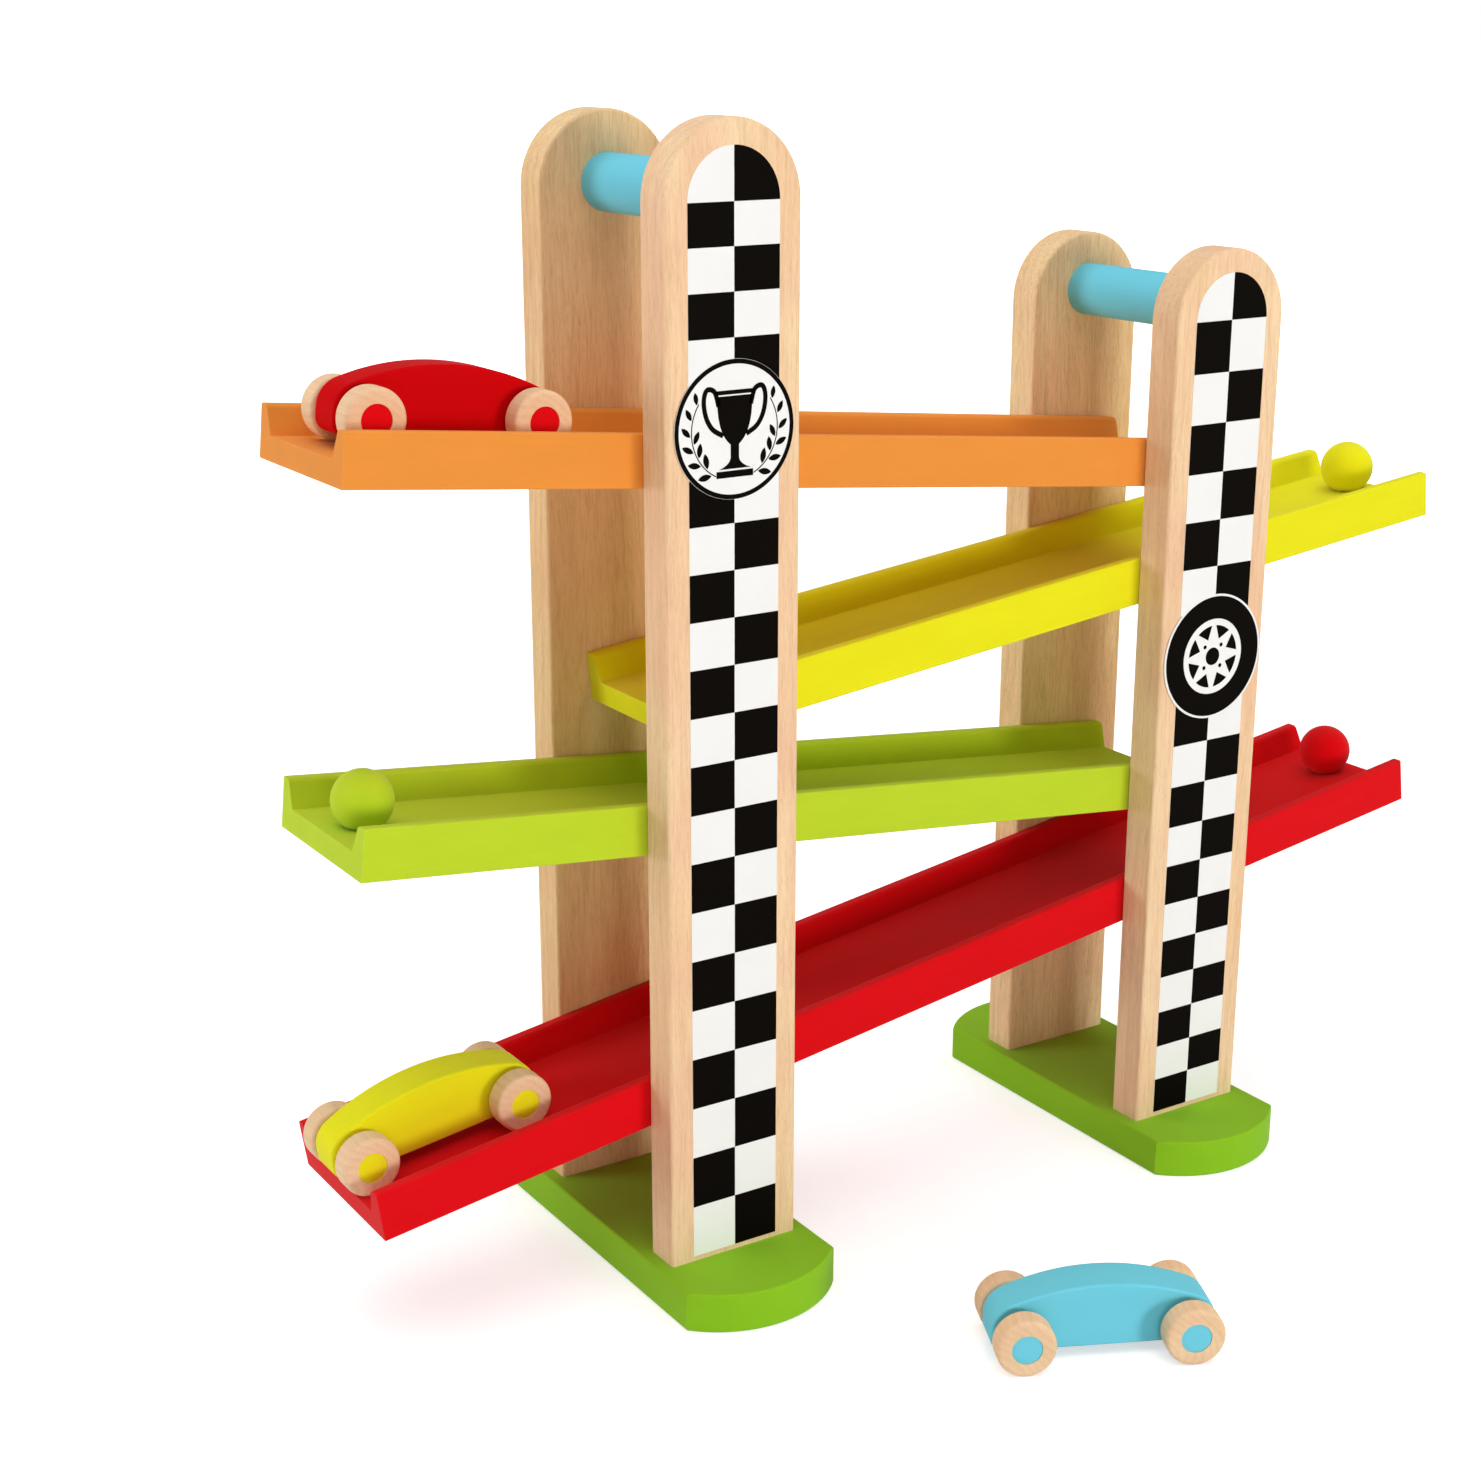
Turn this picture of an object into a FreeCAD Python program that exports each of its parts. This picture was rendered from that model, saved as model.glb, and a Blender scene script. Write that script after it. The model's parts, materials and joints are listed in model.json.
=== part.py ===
# Toy race track for small wooden cars.
# Four sloping channels are held between two pairs of round-topped uprights, each pair on
# its own base board. Three cars belong to the set.
# +X runs along the track to the right, +Y to the back and +Z up. The origin is at the
# middle of the left base's underside. Places along X are counted from the middle of the
# set, which lies half the upright spacing to the right of the origin.
import FreeCAD
import Part
import Sketcher
import os

Vector = FreeCAD.Vector
doc = FreeCAD.newDocument("RaceTrack")
sheet = doc.addObject("Spreadsheet::Sheet", "Sizes")

# Driving sizes in millimetres, and in degrees for the tilts
sizes = [
    ("boardThick", 12),
    ("uprightWidth", 42),
    ("uprightSpacing", 175.5),
    ("leftTop", 331.4),
    ("rightTop", 290),
    ("uprightRounding", 1),
    ("sideGap", 0.1),
    ("glueGap", 0.05),
    ("holeEnd", 0.3),
    ("baseThick", 12),
    ("baseWidth", 50.4),
    ("baseStraight", 106.4),
    ("baseBow", 11),
    ("baseRounding", 0.8),
    ("screwDiameter", 4),
    ("screwLength", 30),
    ("screwHead", 8),
    ("screwHeadDepth", 2.6),
    ("screwSunk", 0.5),
    ("screwTip", 5),
    ("screwSpread", 22),
    ("driveWidth", 1),
    ("driveLength", 4.4),
    ("driveDepth", 1.6),
    ("crossbarDiameter", 16.2),
    ("tenonDiameter", 10),
    ("tenonLength", 8),
    ("leftCrossbarDrop", 19.8),
    ("rightCrossbarDrop", 17.8),
    ("trackWidth", 53.6),
    ("trackHeight", 14.6),
    ("trackFloor", 6.8),
    ("wallTop", 3.8),
    ("wallFoot", 6.8),
    ("wallRounding", 1.2),
    ("trackRounding", 0.5),
    ("dowelDiameter", 4),
    ("dowelInTrack", 10),
    ("dowelInUpright", 6),
    ("orangeMiddle", 225.5),
    ("orangeTilt", 5.67),
    ("orangeLeft", 193.5),
    ("orangeRight", 97.5),
    ("yellowMiddle", 174.5),
    ("yellowTilt", -6.39),
    ("yellowLeft", 95.5),
    ("yellowRight", 193.5),
    ("greenMiddle", 122.3),
    ("greenTilt", 5.95),
    ("greenLeft", 193.5),
    ("greenRight", 97.5),
    ("redMiddle", 67.6),
    ("redTilt", -8.43),
    ("redLeft", 191.5),
    ("redRight", 193.5),
    ("ballDiameter", 17.2),
    ("ballSeat", 1.2),
    ("leftBallInset", 11.5),
    ("rightBallInset", 9.2),
    ("pinDiameter", 4),
    ("pinInBall", 6),
    ("pinInTrack", 5),
    ("stickerThick", 0.2),
    ("stripWidth", 28),
    ("stripFoot", 1.6),
    ("stripMargin", 7),
    ("trophyBadge", 37),
    ("trophyHeight", 252),
    ("wheelBadge", 39.6),
    ("wheelBadgeHeight", 165.4),
    ("wheelDiameter", 17),
    ("wheelThick", 7.1),
    ("wheelRounding", 1.3),
    ("wheelBase", 47.5),
    ("wheelTread", 29.4),
    ("capDiameter", 8.6),
    ("capThick", 2),
    ("axleDiameter", 4),
    ("axleGap", 0.06),
    ("wheelFloat", 0.2),
    ("carTail", 31.8),
    ("carNose", 31.8),
    ("carBelly", 3.3),
    ("carTop", 22.1),
    ("carCrown", 0.5),
    ("carTailHeight", 14.7),
    ("carNoseHeight", 14.2),
    ("carTailRound", 8.2),
    ("carNoseRound", 7.2),
    ("carChin", 3.5),
    ("carMiddleWidth", 12.8),
    ("carEndWidth", 11.6),
    ("carRounding", 0.8),
    ("cutBeyond", 1),
    ("redCarPlace", -156.6),
    ("yellowCarPlace", -165),
    ("blueCarAlong", -19.4),
    ("blueCarAside", -120.5),
    ("blueCarTurn", -25.3),
]

for row, (name, number) in enumerate(sizes, start=1):
    sheet.set("A%d" % row, name)
    sheet.set("B%d" % row, str(number))
    sheet.setAlias("B%d" % row, name)
doc.recompute()


# Names used in the formulas below
innerGap = "(Sizes.trackWidth + 2 * Sizes.sideGap)"
frontFace = "(Sizes.trackWidth / 2 + Sizes.sideGap + Sizes.boardThick)"
wheelRadius = "(Sizes.wheelDiameter / 2)"
dowelHeight = "(Sizes.trackFloor / 2)"
ballRadius = "(Sizes.ballDiameter / 2)"
setMiddle = "(Sizes.uprightSpacing / 2)"
pillarAt = {"left": "(-Sizes.uprightSpacing / 2)", "right": "(Sizes.uprightSpacing / 2)"}
tracks = ["orange", "yellow", "green", "red"]


def number(formula):
    """The value of a formula of sheet sizes."""
    result = sheet.evalExpression(formula.replace("Sizes.", ""))
    return float(getattr(result, "Value", result))


def place(item, x="0", y="0", z="0", turn=None, axis=Vector(0, 1, 0)):
    """Bind an item's place, counted from the middle of the set, and its turn to formulas."""
    angle = number(turn) if turn else 0
    item.Placement = FreeCAD.Placement(Vector(), FreeCAD.Rotation(axis, angle))
    for letter, formula in zip("xyz", (setMiddle + " + " + x, y, z)):
        item.setExpression("Placement.Base." + letter, formula)
    if turn:
        item.setExpression("Placement.Rotation.Angle", "(%s) * 1deg" % turn)


def newSketch(body, name, plane, offset="0"):
    """A sketch on one of the body's own origin planes, moved along the plane's normal."""
    sketch = body.newObject("Sketcher::SketchObject", name)
    planes = [item for item in body.Origin.OriginFeatures if item.Role == plane]
    sketch.AttachmentSupport = [(planes[0], "")]
    sketch.MapMode = "FlatFace"
    sketch.setExpression("AttachmentOffset.Base.z", offset)
    return sketch


def pin(sketch, geometry, end, x, y):
    """Hold one point of a sketch at two formulas."""
    for kind, formula in (("DistanceX", x), ("DistanceY", y)):
        index = sketch.addConstraint(
            Sketcher.Constraint(kind, -1, 1, geometry, end, number(formula))
        )
        sketch.setExpression("Constraints[%d]" % index, formula)


def drawOutline(sketch, start, path):
    """Draw a closed outline of lines and arcs through points given as formulas.

    A step of two formulas is a line to that point. A step of four is an arc through the
    first point to the second.
    """
    here = start
    ends = []
    for step in path:
        begin = Vector(number(here[0]), number(here[1]), 0)
        stop = Vector(number(step[-2]), number(step[-1]), 0)
        if len(step) == 2:
            piece = sketch.addGeometry(Part.LineSegment(begin, stop), False)
            first, last = 1, 2
        else:
            middle = Vector(number(step[0]), number(step[1]), 0)
            piece = sketch.addGeometry(Part.Arc(begin, middle, stop), False)
            forward = (sketch.getPoint(piece, 1) - begin).Length < 1e-4
            first, last = (1, 2) if forward else (2, 1)
            guide = sketch.addGeometry(Part.Point(middle), True)
            sketch.addConstraint(Sketcher.Constraint("PointOnObject", guide, 1, piece))
            pin(sketch, guide, 1, step[0], step[1])
        pin(sketch, piece, last, step[-2], step[-1])
        ends.append((piece, first, last))
        here = step[-2:]
    for before, after in zip(ends, ends[1:] + ends[:1]):
        sketch.addConstraint(
            Sketcher.Constraint("Coincident", before[0], before[2], after[0], after[1])
        )


def drawCircles(sketch, diameter, centres):
    """Draw equal circles whose centres and diameter are formulas."""
    for x, y in centres:
        circle = Part.Circle(Vector(number(x), number(y), 0), Vector(0, 0, 1), number(diameter) / 2)
        geometry = sketch.addGeometry(circle, False)
        pin(sketch, geometry, 3, x, y)
        index = sketch.addConstraint(Sketcher.Constraint("Diameter", geometry, number(diameter)))
        sketch.setExpression("Constraints[%d]" % index, diameter)


def newBody(name):
    body = doc.addObject("PartDesign::Body", name)
    body.Label = name
    return body


def pad(body, sketch, length, reverse=False, bothWays=False):
    feature = body.newObject("PartDesign::Pad", body.Name + "_pad")
    feature.Profile = sketch
    feature.setExpression("Length", length)
    feature.Reversed = reverse
    feature.Midplane = bothWays
    doc.recompute()
    return feature


def cut(body, sketch, depth, reverse=False):
    """Pocket a sketch and make sure that it took material away."""
    before = body.Shape.Volume
    feature = body.newObject("PartDesign::Pocket", body.Name + "_cut")
    feature.Profile = sketch
    feature.setExpression("Length", depth)
    feature.Reversed = reverse
    doc.recompute()
    if body.Shape.Volume >= before:
        raise ValueError("a cut in %s takes nothing away" % body.Label)
    return feature


def spin(body, sketch, axis):
    """Turn a sketch into a solid of revolution about one of the body's own axes."""
    feature = body.newObject("PartDesign::Revolution", body.Name + "_turned")
    feature.Profile = sketch
    axes = [item for item in body.Origin.OriginFeatures if item.Role == axis]
    feature.ReferenceAxis = (axes[0], [""])
    feature.Angle = 360
    doc.recompute()
    return feature


def roundEdges(body, radius, wanted):
    """Round the edges of the body's last shape that pass the given test."""
    base = body.Tip
    names = []
    for index, edge in enumerate(base.Shape.Edges, start=1):
        if wanted(edge):
            names.append("Edge%d" % index)
    feature = body.newObject("PartDesign::Fillet", body.Name + "_rounding")
    feature.Base = (base, names)
    feature.setExpression("Radius", radius)
    doc.recompute()
    return feature


def alignedWith(edge, direction):
    """Whether a straight edge runs along a direction."""
    if edge.Curve.TypeId != "Part::GeomLine":
        return False
    return abs(abs(edge.tangentAt(edge.FirstParameter).dot(direction)) - 1) < 1e-6


def dowelAt(track, pillar):
    """Height above the floor of the dowel that holds a track to a pillar."""
    tilt = "(Sizes.%sTilt * 1deg)" % track
    return "(Sizes.%sMiddle - %s * tan(%s) + %s / cos(%s))" % (
        track, pillarAt[pillar], tilt, dowelHeight, tilt)


# Base boards
def makeBase(pillar):
    """A board with shallow bowed ends, drilled from below for the upright's screws."""
    body = newBody(pillar + "_base")
    half = "Sizes.baseWidth / 2"
    end = "Sizes.baseStraight / 2"
    tip = "(Sizes.baseStraight / 2 + Sizes.baseBow)"
    outline = newSketch(body, body.Name + "_outline", "XY_Plane")
    drawOutline(outline, (half, "-" + end), [
        (half, end),
        ("0", tip, "-" + half, end),
        ("-" + half, "-" + end),
        ("0", "-" + tip, half, "-" + end),
    ])
    pad(body, outline, "Sizes.baseThick")
    roundEdges(body, "Sizes.baseRounding", lambda edge: abs(edge.CenterOfMass.z) < 1e-6
               or abs(edge.CenterOfMass.z - number("Sizes.baseThick")) < 1e-6)
    holes = newSketch(body, body.Name + "_holes", "XY_Plane")
    drawCircles(holes, "Sizes.screwDiameter + 2 * Sizes.glueGap", screwPlaces())
    cut(body, holes, "Sizes.baseThick", reverse=True)
    for x, y in screwPlaces():
        sink = newSketch(body, body.Name + "_sink", "XZ_Plane", "-(%s)" % y)
        wide = "(Sizes.screwHead / 2 + 2 * Sizes.glueGap)"
        drawOutline(sink, (x, "0"), [
            ("%s + %s" % (x, wide), "0"),
            ("%s + %s" % (x, wide), "Sizes.screwSunk"),
            (x + " + Sizes.screwDiameter / 2", "Sizes.screwSunk + Sizes.screwHeadDepth"),
            (x, "Sizes.screwSunk + Sizes.screwHeadDepth"),
            (x, "0"),
        ])
        groove = body.newObject("PartDesign::Groove", body.Name + "_countersink")
        groove.Profile = sink
        groove.ReferenceAxis = (sink, ["Edge5"])
        groove.Angle = 360
        doc.recompute()
    place(body, x=pillarAt[pillar])
    return body


def screwPlaces():
    """Screw centres under one pair of uprights."""
    rows = ["-(%s - Sizes.boardThick / 2)" % frontFace, "(%s - Sizes.boardThick / 2)" % frontFace]
    sides = ["-Sizes.screwSpread / 2", "Sizes.screwSpread / 2"]
    return [(side, row) for row in rows for side in sides]


# Uprights
def makeUpright(pillar, face):
    """A board with a half-round top. Its inner face carries the tracks and the crossbar."""
    body = newBody("%s_%s_upright" % (pillar, face))
    front = face == "front"
    half = "Sizes.uprightWidth / 2"
    top = "(Sizes.%sTop - Sizes.baseThick)" % pillar
    shoulder = "(%s - %s)" % (top, half)
    outline = newSketch(body, body.Name + "_outline", "XZ_Plane")
    drawOutline(outline, ("-" + half, "0"), [
        (half, "0"),
        (half, shoulder),
        ("0", top, "-" + half, shoulder),
        ("-" + half, "0"),
    ])
    pad(body, outline, "Sizes.boardThick", reverse=not front)
    thick = number("Sizes.boardThick") * (-1 if front else 1)
    roundEdges(body, "Sizes.uprightRounding", lambda edge: edge.CenterOfMass.z > 1e-6
               and min(abs(edge.CenterOfMass.y), abs(edge.CenterOfMass.y - thick)) < 1e-6)
    dowels = newSketch(body, body.Name + "_dowels", "XZ_Plane")
    drawCircles(dowels, "Sizes.dowelDiameter + 2 * Sizes.glueGap",
                [("0", "%s - Sizes.baseThick" % dowelAt(track, pillar)) for track in tracks])
    cut(body, dowels, "Sizes.dowelInUpright + Sizes.holeEnd", reverse=front)
    tenon = newSketch(body, body.Name + "_tenon", "XZ_Plane")
    drawCircles(tenon, "Sizes.tenonDiameter + 2 * Sizes.glueGap",
                [("0", "%s - Sizes.%sCrossbarDrop" % (top, pillar))])
    cut(body, tenon, "Sizes.tenonLength + Sizes.holeEnd", reverse=front)
    screws = newSketch(body, body.Name + "_screws", "XY_Plane")
    middle = "Sizes.boardThick / 2 * %d" % (-1 if front else 1)
    drawCircles(screws, "Sizes.screwDiameter + 2 * Sizes.glueGap",
                [("-Sizes.screwSpread / 2", middle), ("Sizes.screwSpread / 2", middle)])
    cut(body, screws, "Sizes.screwLength + Sizes.screwSunk + Sizes.holeEnd - Sizes.baseThick",
        reverse=True)
    place(body, x=pillarAt[pillar], y="%s / 2 * %d" % (innerGap, -1 if front else 1),
          z="Sizes.baseThick")
    return body


# Crossbars
def makeCrossbar(pillar):
    """A turned rod between the tops of two uprights, with a tenon at each end."""
    body = newBody(pillar + "_crossbar")
    rod = newSketch(body, body.Name + "_rod", "XZ_Plane")
    drawCircles(rod, "Sizes.crossbarDiameter", [("0", "0")])
    pad(body, rod, innerGap, bothWays=True)
    tenon = newSketch(body, body.Name + "_tenon", "XZ_Plane")
    drawCircles(tenon, "Sizes.tenonDiameter", [("0", "0")])
    pad(body, tenon, innerGap + " + 2 * Sizes.tenonLength", bothWays=True)
    place(body, x=pillarAt[pillar], z="Sizes.%sTop - Sizes.%sCrossbarDrop" % (pillar, pillar))
    return body


# Tracks
def onTrack(item, track, along="0", above="0"):
    """Place an item on a track, by its distance along it and its height above its underside."""
    tilt = "(Sizes.%sTilt * 1deg)" % track
    place(item,
          x="(%s) * cos(%s) + (%s) * sin(%s)" % (along, tilt, above, tilt),
          z="Sizes.%sMiddle - (%s) * sin(%s) + (%s) * cos(%s)" % (track, along, tilt, above, tilt),
          turn="Sizes.%sTilt" % track)


def trackEnd(track, side):
    """Distance along a track from its middle to one of its ends."""
    tilt = "(Sizes.%sTilt * 1deg)" % track
    sign = "-" if side == "Left" else ""
    return "(%sSizes.%s%s / cos(%s))" % (sign, track, side, tilt)


def makeTrack(track):
    """A straight channel with drafted inner walls, open at both ends."""
    body = newBody(track + "_track")
    half = "Sizes.trackWidth / 2"
    section = newSketch(body, body.Name + "_section", "YZ_Plane", trackEnd(track, "Left"))
    drawOutline(section, ("-" + half, "0"), [
        (half, "0"),
        (half, "Sizes.trackHeight"),
        (half + " - Sizes.wallTop", "Sizes.trackHeight"),
        (half + " - Sizes.wallFoot", "Sizes.trackFloor"),
        ("Sizes.wallFoot - " + half, "Sizes.trackFloor"),
        ("Sizes.wallTop - " + half, "Sizes.trackHeight"),
        ("-" + half, "Sizes.trackHeight"),
        ("-" + half, "0"),
    ])
    pad(body, section, "%s - %s" % (trackEnd(track, "Right"), trackEnd(track, "Left")))
    lip = number(half + " - Sizes.wallTop")
    outside = number(half)
    high = number("Sizes.trackHeight")
    lengthways = Vector(1, 0, 0)
    roundEdges(body, "Sizes.wallRounding", lambda edge: alignedWith(edge, lengthways)
               and abs(abs(edge.CenterOfMass.y) - lip) < 1e-6
               and abs(edge.CenterOfMass.z - high) < 1e-6)
    roundEdges(body, "Sizes.trackRounding", lambda edge: alignedWith(edge, lengthways)
               and abs(abs(edge.CenterOfMass.y) - outside) < 1e-6)
    tilt = "(Sizes.%sTilt * 1deg)" % track
    places = []
    for pillar in ("left", "right"):
        along = "((%s - %s * sin(%s)) / cos(%s))" % (pillarAt[pillar], dowelHeight, tilt, tilt)
        places.append((along, dowelHeight))
    for face, offset in (("front", half), ("back", "-" + half)):
        holes = newSketch(body, "%s_%s_holes" % (body.Name, face), "XZ_Plane", offset)
        drawCircles(holes, "Sizes.dowelDiameter + 2 * Sizes.glueGap", places)
        cut(body, holes, "Sizes.dowelInTrack + Sizes.holeEnd", reverse=face == "back")
    if track != "orange":
        seat = newSketch(body, body.Name + "_pin", "XY_Plane", "Sizes.trackFloor")
        drawCircles(seat, "Sizes.pinDiameter + 2 * Sizes.glueGap", [(ballPlace(track), "0")])
        cut(body, seat, "Sizes.pinInTrack + Sizes.holeEnd")
    onTrack(body, track)
    return body


# Stop balls
def ballPlace(track):
    """Distance along a track to its stop ball, at the track's high end."""
    if number("Sizes.%sTilt" % track) > 0:
        return "(%s + Sizes.leftBallInset)" % trackEnd(track, "Left")
    return "(%s - Sizes.rightBallInset)" % trackEnd(track, "Right")


def makeBall(track):
    """A turned ball with a flat foot, bored from below for its pin."""
    body = newBody(track + "_stop_ball")
    foot = "(%s - Sizes.ballSeat)" % ballRadius
    footRadius = "sqrt(%s ^ 2 - %s ^ 2)" % (ballRadius, foot)
    bore = "(Sizes.pinDiameter / 2 + Sizes.glueGap)"
    boreTop = "(Sizes.pinInBall + Sizes.holeEnd)"
    section = newSketch(body, body.Name + "_section", "XZ_Plane")
    drawOutline(section, (footRadius, "0"), [
        (ballRadius, foot, "0", foot + " + " + ballRadius),
        ("0", boreTop),
        (bore, boreTop),
        (bore, "0"),
        (footRadius, "0"),
    ])
    spin(body, section, "Z_Axis")
    onTrack(body, track, ballPlace(track), "Sizes.trackFloor")
    return body


def makePins():
    """The plain pins that hold the stop balls."""
    pins = []
    for track in tracks[1:]:
        item = doc.addObject("Part::Cylinder", track + "_ball_pin")
        item.setExpression("Radius", "Sizes.pinDiameter / 2")
        item.setExpression("Height", "Sizes.pinInBall + Sizes.pinInTrack")
        onTrack(item, track, ballPlace(track), "Sizes.trackFloor - Sizes.pinInTrack")
        pins.append(item)
    return group("stop_ball_pins", pins)


def group(name, items):
    """Equal pieces that share one node, each as its own solid."""
    compound = doc.addObject("Part::Compound", name)
    compound.Label = name
    compound.Links = items
    return compound


# Dowels between the tracks and the uprights
def makeDowel(track, pillar, face):
    """A plain dowel across the joint between a track's floor and an upright."""
    side = -1 if face == "front" else 1
    item = doc.addObject("Part::Cylinder", "%s_%s_%s_dowel" % (track, pillar, face))
    item.setExpression("Radius", "Sizes.dowelDiameter / 2")
    item.setExpression("Height", "Sizes.dowelInTrack + Sizes.dowelInUpright + Sizes.sideGap")
    item.Placement = FreeCAD.Placement(Vector(), FreeCAD.Rotation(Vector(1, 0, 0), side * -90))
    inner = "%d * (Sizes.trackWidth / 2 - Sizes.dowelInTrack)" % side
    item.setExpression("Placement.Base.x", "%s + %s" % (setMiddle, pillarAt[pillar]))
    item.setExpression("Placement.Base.y", inner)
    item.setExpression("Placement.Base.z", dowelAt(track, pillar))
    return item


def makeDowels():
    """One dowel wherever a track passes an upright."""
    dowels = []
    for track in tracks:
        for pillar in ("left", "right"):
            for face in ("front", "back"):
                dowels.append(makeDowel(track, pillar, face))
    return group("track_dowels", dowels)


# Screws up through the bases
def makeScrews():
    """Countersunk wood screws with a cross drive."""
    radius = number("Sizes.screwDiameter") / 2
    head = number("Sizes.screwHead") / 2
    headDepth = number("Sizes.screwHeadDepth")
    length = number("Sizes.screwLength")
    corners = [
        Vector(0, 0, 0),
        Vector(head, 0, 0),
        Vector(radius, 0, headDepth),
        Vector(radius, 0, length - number("Sizes.screwTip")),
        Vector(0, 0, length),
        Vector(0, 0, 0),
    ]
    blank = Part.Face(Part.makePolygon(corners)).revolve(Vector(), Vector(0, 0, 1), 360)
    long = number("Sizes.driveLength")
    wide = number("Sizes.driveWidth")
    deep = number("Sizes.driveDepth")
    slot = Part.makeBox(long, wide, deep, Vector(-long / 2, -wide / 2, 0))
    cross = slot.fuse(Part.makeBox(wide, long, deep, Vector(-wide / 2, -long / 2, 0)))
    screw = blank.cut(cross)
    copies = []
    for pillar in ("left", "right"):
        for x, y in screwPlaces():
            along = number("%s + %s" % (pillarAt[pillar], x))
            copy = screw.copy()
            copy.translate(Vector(along, number(y), number("Sizes.screwSunk")))
            copies.append(copy)
    item = doc.addObject("Part::Feature", "base_screws")
    item.Label = "base_screws"
    item.Shape = Part.makeCompound(copies)
    item.Placement = FreeCAD.Placement(Vector(number(setMiddle), 0, 0), FreeCAD.Rotation())
    return item


# Stickers on the front uprights
def makeStrip(pillar):
    """A long sticker whose round top follows the upright's top."""
    body = newBody(pillar + "_checker_sticker")
    half = "Sizes.stripWidth / 2"
    top = "(Sizes.%sTop - Sizes.baseThick - Sizes.stripMargin)" % pillar
    shoulder = "(%s - %s)" % (top, half)
    outline = newSketch(body, body.Name + "_outline", "XZ_Plane")
    drawOutline(outline, ("-" + half, "Sizes.stripFoot"), [
        (half, "Sizes.stripFoot"),
        (half, shoulder),
        ("0", top, "-" + half, shoulder),
        ("-" + half, "Sizes.stripFoot"),
    ])
    pad(body, outline, "Sizes.stickerThick")
    place(body, x=pillarAt[pillar], y="-" + frontFace, z="Sizes.baseThick")
    return body


def makeBadge(name, pillar, diameter, height):
    """A round sticker over the long one."""
    body = newBody(name)
    outline = newSketch(body, body.Name + "_outline", "XZ_Plane")
    drawCircles(outline, diameter, [("0", "0")])
    pad(body, outline, "Sizes.stickerThick")
    place(body, x=pillarAt[pillar], y="-(%s + Sizes.stickerThick)" % frontFace, z=height)
    return body


# Cars
def placeInCar(item, car, along="0", across="0", above="0"):
    """Place an item of a car, ahead of the car's middle, to the back and above the ground."""
    if car == "blue":
        turn = "(Sizes.blueCarTurn * 1deg)"
        place(item,
              x="Sizes.blueCarAlong + (%s) * cos(%s) - (%s) * sin(%s)" % (along, turn, across, turn),
              y="Sizes.blueCarAside + (%s) * sin(%s) + (%s) * cos(%s)" % (along, turn, across, turn),
              z=above, turn="Sizes.blueCarTurn", axis=Vector(0, 0, 1))
        return
    track, heading = ("orange", "") if car == "red" else ("red", "-")
    spot = "Sizes.%sCarPlace + %s(%s)" % (car, heading, along)
    onTrack(item, track, spot, "Sizes.trackFloor + Sizes.wheelFloat + (%s)" % above)
    item.setExpression("Placement.Base.y", across)


def makeCarBody(car):
    """One piece of wood with an arched top and rounded ends, a little narrower at the ends."""
    body = newBody(car + "_car_body")
    ahead = "-" if car == "yellow" else ""

    def at(x, z):
        return ("%s(%s)" % (ahead, x), z)

    profile = newSketch(body, body.Name + "_profile", "XZ_Plane")
    drawOutline(profile, at("-Sizes.carTail", "Sizes.carBelly"), [
        at("Sizes.carNose", "Sizes.carBelly"),
        at("Sizes.carNose", "Sizes.carNoseHeight"),
        at("-Sizes.carCrown", "Sizes.carTop") + at("-Sizes.carTail", "Sizes.carTailHeight"),
        at("-Sizes.carTail", "Sizes.carBelly"),
    ])
    pad(body, profile, "Sizes.carMiddleWidth", bothWays=True)
    roundCarCorner(body, "Sizes.carTailRound", at("-Sizes.carTail", "Sizes.carTailHeight"))
    roundCarCorner(body, "Sizes.carNoseRound", at("Sizes.carNose", "Sizes.carNoseHeight"))
    roundCarCorner(body, "Sizes.carChin", at("-Sizes.carTail", "Sizes.carBelly"))
    roundCarCorner(body, "Sizes.carChin", at("Sizes.carNose", "Sizes.carBelly"))
    bowCarSides(body, at)
    offMiddle = number("Sizes.carRounding")
    roundEdges(body, "Sizes.carRounding", lambda edge: abs(edge.CenterOfMass.y) > offMiddle)
    holes = newSketch(body, body.Name + "_axles", "XZ_Plane", "-Sizes.carMiddleWidth / 2")
    drawCircles(holes, "Sizes.axleDiameter + 2 * Sizes.axleGap",
                [at("Sizes.wheelBase / 2", wheelRadius), at("-Sizes.wheelBase / 2", wheelRadius)])
    cut(body, holes, "Sizes.carMiddleWidth", reverse=True)
    placeInCar(body, car)
    return body


def roundCarCorner(body, radius, corner):
    """Round the edge that crosses the car at one corner of its profile."""
    x, z = number(corner[0]), number(corner[1])
    roundEdges(body, radius, lambda edge: alignedWith(edge, Vector(0, 1, 0))
               and abs(edge.CenterOfMass.x - x) < 1e-4 and abs(edge.CenterOfMass.z - z) < 1e-4)


def bowCarSides(body, at):
    """Cut both sides of a car body to a shallow bow in plan."""
    middle = "Sizes.carMiddleWidth / 2"
    end = "Sizes.carEndWidth / 2"
    beyond = "(%s + Sizes.cutBeyond)" % middle
    for side in ("", "-"):
        plan = newSketch(body, body.Name + "_plan", "XY_Plane")
        tail = at("-Sizes.carTail - Sizes.cutBeyond", "")[0]
        nose = at("Sizes.carNose + Sizes.cutBeyond", "")[0]
        drawOutline(plan, (tail, side + end), [
            (at("(Sizes.carNose - Sizes.carTail) / 2", "")[0], side + middle, nose, side + end),
            (nose, side + beyond),
            (tail, side + beyond),
            (tail, side + end),
        ])
        cut(body, plan, "Sizes.carTop + Sizes.cutBeyond", reverse=True)


carEnds = {"front": "(Sizes.wheelBase / 2)", "rear": "(-Sizes.wheelBase / 2)"}


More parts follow.
